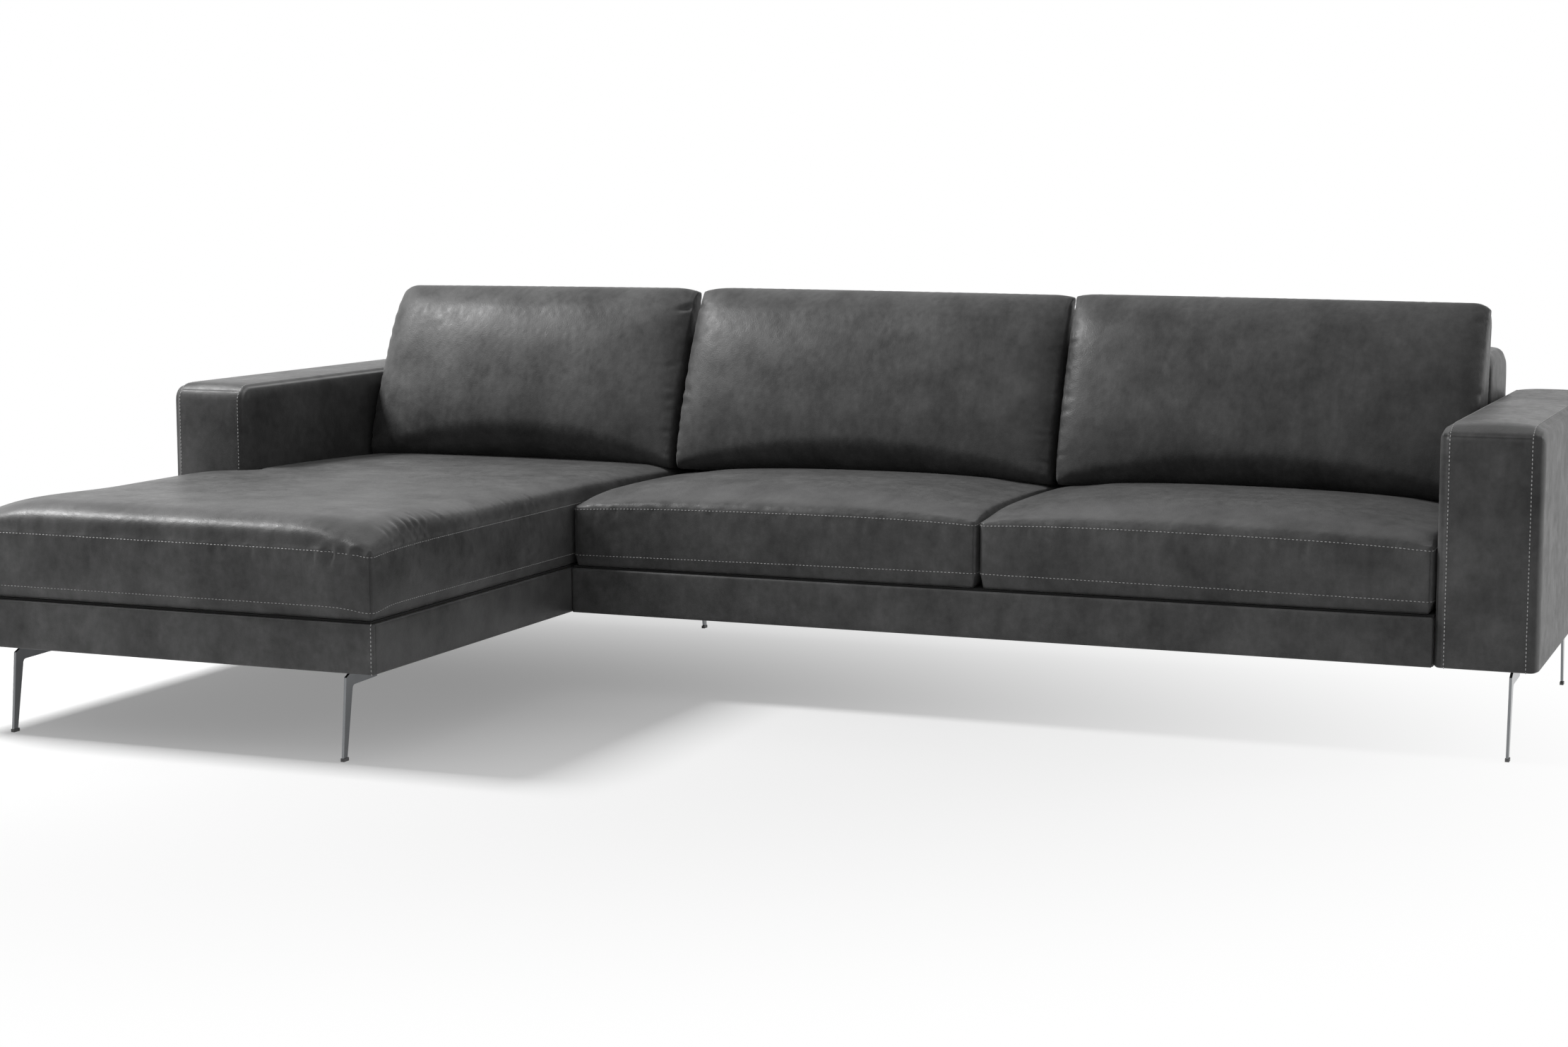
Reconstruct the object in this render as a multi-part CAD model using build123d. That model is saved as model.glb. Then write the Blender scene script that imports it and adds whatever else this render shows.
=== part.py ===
from build123d import *
import math
import os

os.makedirs("parts", exist_ok=True)

# Driving sizes of the sofa, in millimetres. +X runs along the back, from the chaise to the far arm,
# +Y to the rear and +Z up. The origin is on the floor, in the middle of the sofa's footprint.
arm_width = 185.0
arm_height = 605.0
sofa_depth = 900.0
chaise_inner_width = 765.0
seat_module_width = 1725.0
chaise_reach = 785.0
chaise_side_inset = 15.0
leg_height = 166.0
plinth_height = 92.0
back_height = 697.0
back_depth = 255.0
back_rear_inset = 5.0
back_rake = 6.0
rake_start_height = 380.0

# Clearances: between fitted fixed pieces, around loose cushions, and around screws and bolts
fit = 0.3
soft_gap = 0.5
bolt_clearance = 0.5

# Upholstery: the padded cover of arms, backs and plinths, and the thin cloths
cover_thickness = 10.0
arm_edge_radius = 20.0
arm_front_radius = 18.0
back_edge_radius = 32.0
plinth_edge_radius = 4.0
dust_cloth_thickness = 2.0
deck_thickness = 4.0
deck_above_plinth_top = 2.0
strap_thickness = 2.0
strap_width = 60.0
strap_pitch = 118.0
strap_landing = 20.0

# Timber
rail_thickness = 25.0
arm_post_thickness = 28.0
arm_panel_thickness = 15.0
arm_bottom_thickness = 22.0
arm_frame_radius = 15.0
panel_hole_diameter = 170.0
panel_hole_count = 3
back_post_thickness = 25.0
back_top_thickness = 25.0
back_post_inset = 130.0
post_bolt_bite = 45.0
leg_block_width = 90.0
leg_block_height = 45.0
corner_block_leg = 60.0

# Boxed cushions: the height at which the back cushions rest on them, and from there the rise of the
# crown and the drop to the edges and the upper seam. The lower seam is a height above the floor.
rest_height = 406.0
seat_crown_rise = 34.0
chaise_crown_rise = 41.0
cushion_edge_drop = 6.0
cushion_rear_edge_drop = 34.0
upper_seam_drop = 29.0
lower_seam_height = 282.0
cushion_roll = 26.0
cushion_under_roll = 16.0
cushion_panel_draw = 4.0
seat_crown_distance = 200.0
chaise_crown_distance = 635.0
cushion_wall = 38.0
core_floor = 24.0
roll_softness = 0.3
least_rise = 2.0

# Edge roll at a cushion's ends: how far from the end, and how much the section is drawn in there.
# Between the rolls the sections stand at these shares of the length.
end_rolls = ((0.0, 16.0), (5.0, 7.0), (14.0, 2.0), (28.0, 0.0))
middle_steps = (0.16, 0.33, 0.5, 0.67, 0.84)

# Back cushions, measured along and across the leaning back. Each is a wedge, thick at its foot and thin
# at its top. The crown, the top and the roll under the front grow from the sides to the middle.
back_cushion_height = 407.0
back_cushion_thickness = 152.0
back_cushion_side_top = 28.0
back_cushion_middle_top = 64.0
back_cushion_side_crown = 18.0
back_cushion_middle_crown = 56.0
back_cushion_corner_radius = 48.0
back_cushion_under_roll = 22.0
back_cushion_middle_under_roll = 52.0
back_core_wall = 30.0
back_core_height = 232.0

# Blade feet of plate steel, each with a flange above and a glide below
blade_thickness = 5.0
blade_tip_width = 12.0
blade_lean = 14.0
blade_top_width = 22.0
blade_chamfer_height = 15.0
blade_chamfer_length = 32.0
blade_arm_length = 121.0
blade_arm_root_depth = 31.0
blade_arm_end_depth = 29.0
blade_arm_end_slant = 14.0
blade_inner_radius = 8.0
flange_thickness = 3.0
flange_width = 56.0
glide_height = 6.0
glide_floor = 2.5
glide_wall = 1.2
foot_front_inset = 20.0
foot_rear_inset = 40.0
chaise_foot_left_inset = 135.0
chaise_foot_right_inset = 80.0
arm_foot_inset = 50.0
junction_foot_inset = 80.0
screw_head_radius = 4.5
screw_head_height = 3.0
screw_shank_radius = 2.25
screw_length = 28.0
bolt_radius = 4.0
bolt_head_radius = 7.5
bolt_head_height = 6.0
bolt_front_inset = 150.0
bolt_rear_inset = 100.0

# Places worked out from the driving sizes
overall_width = 2 * arm_width + chaise_inner_width + seat_module_width
overall_depth = sofa_depth + chaise_reach
left_outer = -overall_width / 2
left_inner = left_outer + arm_width
junction = left_inner + chaise_inner_width
right_inner = junction + seat_module_width
right_outer = right_inner + arm_width
seat_split = junction + seat_module_width / 2
chaise_left = left_outer + chaise_side_inset
chaise_front = -overall_depth / 2
seat_front = chaise_front + chaise_reach
rear = overall_depth / 2
back_rear = rear - back_rear_inset
back_front = back_rear - back_depth

plinth_top = leg_height + plinth_height
deck_top = plinth_top + deck_above_plinth_top
deck_bottom = deck_top - deck_thickness
rail_top = deck_bottom - strap_thickness
rail_bottom = leg_height + dust_cloth_thickness
cushion_bottom = deck_top + fit
base_rear = back_front - fit
rake = math.radians(back_rake)
back_post_place = cover_thickness + fit + back_post_inset + back_post_thickness / 2
upper_seam_height = rest_height - upper_seam_drop
cushion_edge_height = rest_height - cushion_edge_drop
cushion_rear_edge_height = rest_height - cushion_rear_edge_drop
seat_crown_height = rest_height + seat_crown_rise
chaise_crown_height = rest_height + chaise_crown_rise

# Inner faces of the plinth covers, against which the rails stand
chaise_rail_left = chaise_left + cover_thickness + fit
chaise_rail_right = junction - fit - cover_thickness - fit
chaise_rail_front = chaise_front + cover_thickness + fit
seat_rail_left = junction + fit
seat_rail_right = right_inner - fit
seat_rail_front = seat_front + cover_thickness + fit
cross_rear = seat_front - fit
cross_front = cross_rear - rail_thickness

nodes = {}


def block(x0, x1, y0, y1, z0, z1):
    """A board or block between two corners."""
    size = Box(x1 - x0, y1 - y0, z1 - z0)
    return Pos((x0 + x1) / 2, (y0 + y1) / 2, (z0 + z1) / 2) * size


def prism(points, z0, z1):
    """A flat sheet or block with a straight-sided plan outline."""
    outline = make_face(Polyline(*points, close=True))
    return Pos(0, 0, z0) * extrude(outline, z1 - z0)


def rod(axis, x, y, z, radius, length):
    """A round rod that starts at a point and runs along +X, +Y or +Z."""
    turn = {"X": Rot(0, 90, 0), "Y": Rot(-90, 0, 0), "Z": Rot(0, 0, 0)}[axis]
    upright = Cylinder(radius, length, align=(Align.CENTER, Align.CENTER, Align.MIN))
    return Pos(x, y, z) * turn * upright


def chain(points, mids):
    """A closed face through points: a straight edge, or an arc where a middle point is given."""
    edges = []
    for index, start in enumerate(points):
        end = points[(index + 1) % len(points)]
        if mids[index] is None:
            edges.append(Edge.make_line(start, end))
        else:
            edges.append(Edge.make_three_point_arc(start, mids[index], end))
    return Face(Wire(edges))


def arch(low, high, x):
    """Height at x of the arc over two equal-height ends with its crown midway between them."""
    (x0, z0), (x1, crown) = low, high
    half = x1 - x0
    sag = max(crown - z0, 0.01)
    radius = (half * half + sag * sag) / (2 * sag)
    return crown - radius + math.sqrt(radius * radius - (x - x1) ** 2)


# Feet: place of each blade's front tip, and the way its arm runs (1 to the rear, -1 to the front)
foot_places = {
    "chaise_left_foot": (chaise_left + chaise_foot_left_inset, chaise_front + foot_front_inset, 1),
    "chaise_right_foot": (junction - chaise_foot_right_inset, chaise_front + foot_front_inset, 1),
    "left_arm_front_foot": (left_outer + arm_foot_inset, seat_front + foot_front_inset, 1),
    "left_arm_rear_foot": (left_outer + arm_foot_inset, rear - foot_rear_inset, -1),
    "junction_rear_foot": (junction - junction_foot_inset, rear - foot_rear_inset, -1),
    "right_arm_front_foot": (right_outer - arm_foot_inset, seat_front + foot_front_inset, 1),
    "right_arm_rear_foot": (right_outer - arm_foot_inset, rear - foot_rear_inset, -1),
}

blade_bottom = glide_floor + fit
blade_chamfer_z = leg_height - blade_chamfer_height
blade_crook_z = leg_height - blade_arm_root_depth
blade_front_top = blade_lean + blade_chamfer_length
blade_crook = blade_lean + blade_top_width
blade_end = blade_lean + blade_arm_length
flange_start = blade_front_top + cover_thickness
screw_rows = (flange_start + 2 * screw_head_radius, blade_end - 2 * screw_head_radius)
screw_column = flange_width / 2 - 2 * screw_head_radius


def foot_screw_places(x, y, way):
    """Axis points of the screws that hold one foot's flange."""
    return [(x + side * screw_column, y + way * row) for row in screw_rows for side in (-1, 1)]


def blade_foot(x, y, way):
    """One foot: a leaning blade with its arm, and the flange that screws to the frame."""
    outline = Polyline(
        (0, blade_bottom),
        (blade_tip_width, blade_bottom),
        (blade_crook, blade_crook_z),
        (blade_end - blade_arm_end_slant, leg_height - blade_arm_end_depth),
        (blade_end, leg_height),
        (blade_front_top, leg_height),
        (blade_lean, blade_chamfer_z),
        close=True,
    )
    face = make_face(outline)
    crook = face.vertices().sort_by_distance((blade_crook, blade_crook_z))[0]
    face = fillet(crook, blade_inner_radius)
    # The outline's plane stands upright: its first axis runs to the rear, its second axis up
    blade = extrude(Plane.YZ * face, blade_thickness / 2, both=True)
    flange = block(-flange_width / 2, flange_width / 2, flange_start, blade_end,
                   leg_height - flange_thickness, leg_height)
    foot = blade + flange
    for hole_x, hole_y in foot_screw_places(0, 0, 1):
        foot -= rod("Z", hole_x, hole_y, leg_height - 2 * flange_thickness,
                    screw_shank_radius + bolt_clearance, 3 * flange_thickness)
    if way < 0:
        foot = mirror(foot, Plane.XZ)
    return Pos(x, y, 0) * foot


def glide(x, y, way):
    """The cap on a blade's tip: a small block with a slot for the blade."""
    low, high = sorted((-glide_wall * way, (blade_tip_width + 3 * glide_wall) * way))
    half = blade_thickness / 2 + glide_wall
    slot_low, slot_high = sorted((-fit * way, (blade_tip_width + 2 * glide_wall) * way))
    slot_half = blade_thickness / 2 + fit
    cap = block(-half, half, low, high, 0, glide_height)
    cap -= block(-slot_half, slot_half, slot_low, slot_high, glide_floor, 2 * glide_height)
    return Pos(x, y, 0) * cap


def foot_screw(x, y):
    """A pan-head screw that points up, its head under the flange."""
    seat = leg_height - flange_thickness
    head = rod("Z", x, y, seat - screw_head_height, screw_head_radius, screw_head_height)
    return head + rod("Z", x, y, seat, screw_shank_radius, screw_length)


def drill_for_feet(solid, names):
    """The holes that the screws of the named feet need in a piece above them."""
    for name in names:
        for x, y in foot_screw_places(*foot_places[name]):
            solid -= rod("Z", x, y, leg_height - flange_thickness,
                         screw_shank_radius + bolt_clearance, screw_length + bolt_clearance)
    return solid


base_feet = ("chaise_left_foot", "chaise_right_foot", "junction_rear_foot")
for name, place in foot_places.items():
    nodes[name] = blade_foot(*place)
nodes["foot_glides"] = Compound([glide(*place) for place in foot_places.values()])
nodes["foot_screws"] = Compound(
    [foot_screw(x, y) for place in foot_places.values() for x, y in foot_screw_places(*place)]
)

# Base rails: boards on edge, all of one height
chaise_rails = {
    "chaise_front_rail": (chaise_rail_left, chaise_rail_right,
                          chaise_rail_front, chaise_rail_front + rail_thickness),
    "chaise_left_rail": (chaise_rail_left, chaise_rail_left + rail_thickness,
                         chaise_rail_front + rail_thickness, cross_front),
    "chaise_cross_rail": (chaise_rail_left, chaise_rail_right - rail_thickness, cross_front, cross_rear),
    "chaise_arm_rail": (left_inner + fit, left_inner + fit + rail_thickness, cross_rear, base_rear),
    "chaise_right_rail": (chaise_rail_right - rail_thickness, chaise_rail_right,
                          chaise_rail_front + rail_thickness, base_rear),
    "chaise_rear_rail": (left_inner + fit + rail_thickness, chaise_rail_right - rail_thickness,
                         base_rear - rail_thickness, base_rear),
}
seat_rails = {
    "seat_front_rail": (seat_rail_left, seat_rail_right - cover_thickness - fit,
                        seat_rail_front, seat_rail_front + rail_thickness),
    "seat_left_rail": (seat_rail_left, seat_rail_left + rail_thickness,
                       seat_rail_front + rail_thickness, base_rear),
    "seat_right_rail": (seat_rail_right - rail_thickness, seat_rail_right,
                        seat_rail_front + rail_thickness, base_rear),
    "seat_rear_rail": (seat_rail_left + rail_thickness, seat_rail_right - rail_thickness,
                       base_rear - rail_thickness, base_rear),
    "seat_centre_rail": (seat_split - rail_thickness / 2, seat_split + rail_thickness / 2,
                         seat_rail_front + rail_thickness, base_rear - rail_thickness),
}
for name, (x0, x1, y0, y1) in {**chaise_rails, **seat_rails}.items():
    nodes[name] = block(x0, x1, y0, y1, rail_bottom, rail_top)

# Leg blocks carry the chaise feet, and three-cornered blocks brace the seat frame's corners
leg_block_end = blade_end + 2 * screw_head_radius
junction_post_face = junction - fit - back_post_place + back_post_thickness / 2


def leg_block(name):
    """The block above one chaise foot, glued to the front rail, or to the back's post at the rear."""
    x, y, way = foot_places[name]
    x0, x1 = x - leg_block_width / 2, x + leg_block_width / 2
    if way > 0:
        x1 = min(x1, chaise_rail_right - rail_thickness)
        y0, y1 = chaise_rail_front + rail_thickness, y + leg_block_end
    else:
        x0 = junction_post_face
        y0, y1 = y - leg_block_end, back_rear - cover_thickness - fit
    return block(x0, x1, y0, y1, rail_bottom, rail_bottom + leg_block_height)


def corner_block(x, y, way_x, way_y):
    """A three-cornered brace in the corner of two rails."""
    points = [(x, y), (x + way_x * corner_block_leg, y), (x, y + way_y * corner_block_leg)]
    return prism(points, rail_bottom, rail_top)


seat_corner_rear = base_rear - rail_thickness
seat_corner_front = seat_rail_front + rail_thickness
blocks = [drill_for_feet(leg_block(name), [name]) for name in base_feet]
for x, way_x in ((seat_rail_left + rail_thickness, 1), (seat_rail_right - rail_thickness, -1)):
    blocks.append(corner_block(x, seat_corner_front, way_x, 1))
    blocks.append(corner_block(x, seat_corner_rear, way_x, -1))
nodes["corner_blocks"] = Compound(blocks)


def straps(along, low, high, start, end):
    """Webbing straps side by side between start and end, each from rail to rail."""
    count = int((end - start) // strap_pitch)
    pitch = (end - start) / count
    found = []
    for index in range(count):
        middle = start + (index + 0.5) * pitch
        edge_low, edge_high = middle - strap_width / 2, middle + strap_width / 2
        if along == "X":
            strap = block(low, high, edge_low, edge_high, rail_top, deck_bottom)
        else:
            strap = block(edge_low, edge_high, low, high, rail_top, deck_bottom)
        found.append(strap)
    return found


chaise_strap_right = chaise_rail_right - rail_thickness + strap_landing
seat_strap_span = (seat_rail_front + rail_thickness - strap_landing, seat_corner_rear + strap_landing)
nodes["webbing_straps"] = Compound(
    straps("X", chaise_rail_left + rail_thickness - strap_landing, chaise_strap_right,
           chaise_rail_front + rail_thickness, cross_front)
    + straps("X", left_inner + fit + rail_thickness - strap_landing, chaise_strap_right,
             cross_rear, base_rear - rail_thickness)
    + straps("Y", *seat_strap_span, seat_rail_left + rail_thickness, seat_split - rail_thickness / 2)
    + straps("Y", *seat_strap_span, seat_split + rail_thickness / 2, seat_rail_right - rail_thickness)
)


def chaise_sheet(rear_y, z0, z1):
    """A cloth of the chaise base's plan, from behind its front cover to rear_y."""
    return prism(
        [
            (chaise_rail_left, chaise_rail_front),
            (chaise_rail_right, chaise_rail_front),
            (chaise_rail_right, rear_y),
            (left_inner + fit, rear_y),
            (left_inner + fit, cross_rear),
            (chaise_rail_left, cross_rear),
        ],
        z0,
        z1,
    )


# Deck cloths over the webbing and dust covers under the rails
nodes["chaise_deck"] = chaise_sheet(base_rear, deck_bottom, deck_top)
nodes["chaise_dust_cover"] = drill_for_feet(chaise_sheet(back_rear, leg_height, rail_bottom), base_feet)
nodes["seat_deck"] = block(seat_rail_left, seat_rail_right, seat_rail_front, base_rear, deck_bottom, deck_top)
nodes["seat_dust_cover"] = block(seat_rail_left, seat_rail_right, seat_rail_front, back_rear,
                                 leg_height, rail_bottom)

# Plinth covers: the chaise's goes round its front and both sides, the seat's along its front and
# round the end of the front rail, beside the arm
chaise_plinth_right = junction - fit
left_wall = block(chaise_left, chaise_left + cover_thickness, chaise_front, cross_rear,
                  leg_height, plinth_top)
front_wall = block(chaise_left, chaise_plinth_right, chaise_front, chaise_front + cover_thickness,
                   leg_height, plinth_top)
right_wall = block(chaise_plinth_right - cover_thickness, chaise_plinth_right, chaise_front, base_rear,
                   leg_height, plinth_top)
chaise_plinth = left_wall + front_wall + right_wall
chaise_corners = chaise_plinth.edges().filter_by(Axis.Z).group_by(Axis.Y)[0]
nodes["chaise_plinth_cover"] = fillet(chaise_corners, plinth_edge_radius)
seat_plinth = block(seat_rail_left, seat_rail_right, seat_front, seat_front + cover_thickness,
                    leg_height, plinth_top)
seat_plinth += block(seat_rail_right - cover_thickness, seat_rail_right,
                     seat_front, seat_rail_front + rail_thickness - fit, rail_bottom, rail_top)
seat_lips = seat_plinth.edges().filter_by(Axis.X).group_by(Axis.Y)[0]
nodes["seat_plinth_cover"] = fillet(seat_lips, plinth_edge_radius)


def arm(side, outer, inner, foot_names):
    """One arm: padded cover, front and rear posts, side panel and bottom rail."""
    low, high = min(outer, inner), max(outer, inner)
    cover = block(low, high, seat_front, rear, leg_height, arm_height)
    top_edges = cover.edges().filter_by(Axis.Y).group_by(Axis.Z)[-1]
    cover = fillet(top_edges, arm_edge_radius)
    front_edges = cover.faces().sort_by(Axis.Y)[0].edges().filter_by_position(
        Axis.Z, leg_height + 1, arm_height + 1)
    cover = fillet(front_edges, arm_front_radius)
    frame_low = low + cover_thickness
    frame_high = high - cover_thickness
    frame_front = seat_front + cover_thickness
    frame_rear = rear - cover_thickness
    frame_top = arm_height - cover_thickness
    cover -= block(frame_low, frame_high, frame_front, frame_rear, leg_height - 1, frame_top)
    # The boards are cut from one rounded block, so that no edge of theirs presses into the padding
    board_low, board_high = frame_low + fit, frame_high - fit
    panel_bottom = leg_height + arm_bottom_thickness
    panel_front = frame_front + fit + arm_post_thickness
    panel_rear = frame_rear - fit - arm_post_thickness
    frame = block(board_low, board_high, frame_front + fit, frame_rear - fit, leg_height, frame_top - fit)
    frame_edges = frame.edges().filter_by(Axis.Z) + frame.faces().sort_by(Axis.Z)[-1].edges()
    frame = fillet(frame_edges, arm_frame_radius)
    bottom = frame & block(low, high, seat_front, rear, leg_height, panel_bottom)
    front_post = frame & block(low, high, seat_front, panel_front, panel_bottom, arm_height)
    rear_post = frame & block(low, high, panel_rear, rear, panel_bottom, arm_height)
    toward = 1 if inner > outer else -1
    panel_face = inner - toward * (cover_thickness + fit)
    panel_back = panel_face - toward * arm_panel_thickness
    panel = frame & block(min(panel_face, panel_back), max(panel_face, panel_back), panel_front, panel_rear,
                          panel_bottom, arm_height)
    hole_z = (plinth_top + frame_top) / 2
    for index in range(panel_hole_count):
        hole_y = panel_front + (panel_rear - panel_front) * (index + 0.5) / panel_hole_count
        panel -= rod("X", low, hole_y, hole_z, panel_hole_diameter / 2, arm_width)
    nodes[side + "_arm_cover"] = cover
    nodes[side + "_arm_front_post"] = front_post
    nodes[side + "_arm_rear_post"] = rear_post
    nodes[side + "_arm_side_panel"] = panel
    nodes[side + "_arm_bottom_rail"] = drill_for_feet(bottom, foot_names)


arm("left", left_outer, left_inner, ("left_arm_front_foot", "left_arm_rear_foot"))
arm("right", right_outer, right_inner, ("right_arm_front_foot", "right_arm_rear_foot"))


def back_profile(inset, x0, x1):
    """The back's side outline, drawn in by inset, as a solid from x0 to x1. Its front leans back."""
    lean = math.tan(rake) * (back_height - rake_start_height)
    shift = inset / math.cos(rake)
    points = [
        (back_front + inset, rail_bottom),
        (back_front + inset, rake_start_height),
        (back_front + shift + lean - inset * math.tan(rake), back_height - inset),
        (back_rear - inset, back_height - inset),
        (back_rear - inset, rail_bottom),
    ]
    face = make_face(Polyline(*points, close=True))
    return Pos(x0, 0, 0) * extrude(Plane.YZ * face, x1 - x0)


def back(module, x0, x1):
    """One module's back: padded cover, and a top rail that stands on two posts."""
    cover = back_profile(0, x0, x1)
    top_edges = cover.edges().filter_by(Axis.X).group_by(Axis.Z)[-1]
    cover = fillet(top_edges, back_edge_radius)
    inner0, inner1 = x0 + cover_thickness, x1 - cover_thickness
    hollow = back_profile(cover_thickness, inner0, inner1)
    cover = cover - hollow
    # The frame is rounded like the cover above it, so that the padding has one thickness
    frame = back_profile(cover_thickness + fit, inner0 + fit, inner1 - fit)
    frame_edges = frame.edges().filter_by(Axis.X).group_by(Axis.Z)[-1]
    frame = fillet(frame_edges, back_edge_radius - cover_thickness)
    post_top = back_height - cover_thickness - fit - back_top_thickness
    nodes[module + "_back_cover"] = cover
    nodes[module + "_back_top_rail"] = frame & block(x0, x1, seat_front, rear, post_top, back_height)
    for side, middle in (("left", x0 + back_post_place), ("right", x1 - back_post_place)):
        post = block(middle - back_post_thickness / 2, middle + back_post_thickness / 2,
                     seat_front, rear, 0, post_top)
        nodes[module + "_back_" + side + "_post"] = frame & post


back_spans = (("chaise", left_inner + fit, junction - fit), ("seat", junction + fit, right_inner - fit))
for span in back_spans:
    back(*span)

# Bolts: a head, a shank and a nut with a round hole, all along one axis
hole_radius = bolt_radius + bolt_clearance
nut_height = bolt_head_height


def bolt(axis, way, start, length):
    """A bolt whose head seats at start and whose shank runs way (1 or -1) along axis."""
    unit = Vector(1, 0, 0) if axis == "X" else Vector(0, 1, 0)
    head_at = Vector(*start) - unit * (bolt_head_height if way > 0 else 0)
    shank_at = Vector(*start) - unit * (0 if way > 0 else length)
    head = rod(axis, *head_at, bolt_head_radius, bolt_head_height)
    return head + rod(axis, *shank_at, bolt_radius, length)


def nut(axis, x, y, z):
    """A round nut that starts at a point and runs along axis."""
    ring = rod(axis, x, y, z, bolt_head_radius, nut_height)
    return ring - rod(axis, x, y, z, bolt_radius + fit, nut_height)


def drill(names, axis, x, y, z, length):
    """A bolt's hole through the named pieces."""
    for name in names:
        nodes[name] = nodes[name] - rod(axis, x, y, z, hole_radius, length)


bolt_z = (rail_bottom + rail_top) / 2
bolt_y_low = seat_front + bolt_front_inset
bolt_y_high = base_rear - bolt_rear_inset
grip_arm = rail_thickness + fit + cover_thickness + fit + arm_panel_thickness
frame_bolts = []
for y in (bolt_y_low, bolt_y_high):
    start = (left_inner + fit + rail_thickness, y, bolt_z)
    frame_bolts.append(bolt("X", -1, start, grip_arm + nut_height))
    frame_bolts.append(nut("X", start[0] - grip_arm - nut_height, y, bolt_z))
    drill(("chaise_arm_rail", "left_arm_cover", "left_arm_side_panel"), "X",
          start[0] - grip_arm, y, bolt_z, grip_arm)
    start = (right_inner - fit - rail_thickness, y, bolt_z)
    frame_bolts.append(bolt("X", 1, start, grip_arm + nut_height))
    frame_bolts.append(nut("X", start[0] + grip_arm, y, bolt_z))
    drill(("seat_right_rail", "right_arm_cover", "right_arm_side_panel"), "X",
          start[0], y, bolt_z, grip_arm)

# Each back post is held by a bolt through the rear rail, into the post's front edge
back_bolt_length = rail_thickness + fit + cover_thickness + fit + post_bolt_bite
for module, x0, x1 in back_spans:
    for side, x in (("left", x0 + back_post_place), ("right", x1 - back_post_place)):
        start = (x, base_rear - rail_thickness, bolt_z)
        frame_bolts.append(bolt("Y", 1, start, back_bolt_length))
        drill((module + "_rear_rail", module + "_back_cover", f"{module}_back_{side}_post"), "Y",
              *start, back_bolt_length + bolt_clearance)
nodes["frame_bolts"] = Compound(frame_bolts)

# Two bolts join the modules through their rails
grip_module = (seat_rail_left + rail_thickness) - (chaise_rail_right - rail_thickness)
module_bolts = []
for y in (bolt_y_low, (bolt_y_low + bolt_y_high) / 2):
    start = (chaise_rail_right - rail_thickness, y, bolt_z)
    module_bolts.append(bolt("X", 1, start, grip_module + nut_height))
    module_bolts.append(nut("X", start[0] + grip_module, y, bolt_z))
    drill(("chaise_right_rail", "chaise_plinth_cover", "seat_left_rail"), "X",
          *start, grip_module)
nodes["module_bolts"] = Compound(module_bolts)


def cushion_top(y, front, rear_y, peak, crown):
    """Crown height of a seat cushion along its depth: up from the front edge, down to the rear."""
    if y < peak:
        drop = crown - cushion_edge_height
        return crown - drop * ((peak - y) / (peak - front)) ** 2
    rest_y = rear_y - back_cushion_thickness + back_cushion_under_roll
    drop = (crown - rest_height) / (rest_y - peak) ** 2
    return crown - drop * (y - peak) ** 2


def seat_section(y, x0, x1, draw, edge, crown, cut_x=None):
    """A boxed cushion's upright section at y. Where cut_x is given, its left side is cut there."""
    low = cushion_bottom + draw / 2
    seam_low = lower_seam_height
    seam_high = upper_seam_height - draw / 2
    left, right = x0 + draw, x1 - draw
    top_edge = max(edge - draw, seam_high + least_rise)
    crest = max(crown - draw, top_edge + least_rise)
    inner_left, inner_right = left + cushion_roll, right - cushion_roll
    middle = (inner_left + inner_right) / 2
    tuck = cushion_panel_draw
    roll_height = top_edge - (top_edge - seam_high) * roll_softness
    right_side = [
        (right - cushion_under_roll, y, low),
        (right - tuck / 2, y, seam_low),
        (right - tuck, y, seam_high),
        (inner_right, y, top_edge),
    ]
    right_mids = [
        (right - cushion_under_roll / 3, y, (2 * low + seam_low) / 3),
        (right, y, (seam_low + seam_high) / 2),
        (right - tuck - cushion_roll * roll_softness, y, roll_height),
    ]
    if cut_x is None:
        left_side = [
            (inner_left, y, top_edge),
            (left + tuck, y, seam_high),
            (left + tuck / 2, y, seam_low),
            (left + cushion_under_roll, y, low),
        ]
        left_mids = [
            (left + tuck + cushion_roll * roll_softness, y, roll_height),
            (left, y, (seam_low + seam_high) / 2),
            (left + cushion_under_roll / 3, y, (2 * low + seam_low) / 3),
            None,
        ]
        crest_mid = (middle, y, crest)
    else:
        ends = (inner_left, top_edge), (middle, crest)
        left_side = [(cut_x, y, arch(*ends, cut_x)), (cut_x, y, low)]
        left_mids = [None, None]
        half_way = (cut_x + inner_right) / 2
        crest_mid = (half_way, y, arch(*ends, half_way))
    return chain(right_side + left_side, right_mids + [crest_mid] + left_mids)


def end_draw(distance):
    """How much a section is drawn in at this distance from the cushion's end."""
    for (near, big), (far, small) in zip(end_rolls, end_rolls[1:]):
        if distance <= far:
            return big + (small - big) * (distance - near) / (far - near)
    return 0.0


def depth_steps(front, rear_y, roll_front, roll_rear):
    """Places of the sections along a cushion's depth, close together at its rolled ends."""
    steps = [front + share * (rear_y - front) for share in middle_steps]
    steps += [front + at for at, _ in end_rolls] if roll_front else [front]
    steps += [rear_y - at for at, _ in end_rolls] if roll_rear else [rear_y]
    return sorted(steps)


def seat_solid(x0, x1, front, rear_y, peak, crown, whole_front=None, whole_rear=None, cut_x=None):
    """A boxed seat cushion between two depths. The whole cushion's ends set its rolls and crown."""
    first = front if whole_front is None else whole_front
    last = rear_y if whole_rear is None else whole_rear
    sections = []
    for y in depth_steps(front, rear_y, whole_front is None, whole_rear is None):
        draw = end_draw(min(y - first, last - y))
        height = cushion_top(y, first, last, peak, crown)
        fall = max(0.0, (y - peak) / (last - peak))
        edge = cushion_edge_height - (cushion_edge_height - cushion_rear_edge_height) * fall ** 2
        sections.append(seat_section(y, x0, x1, draw, min(edge, height - 2 * least_rise), height, cut_x))
    return loft(sections, ruled=True)


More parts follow.
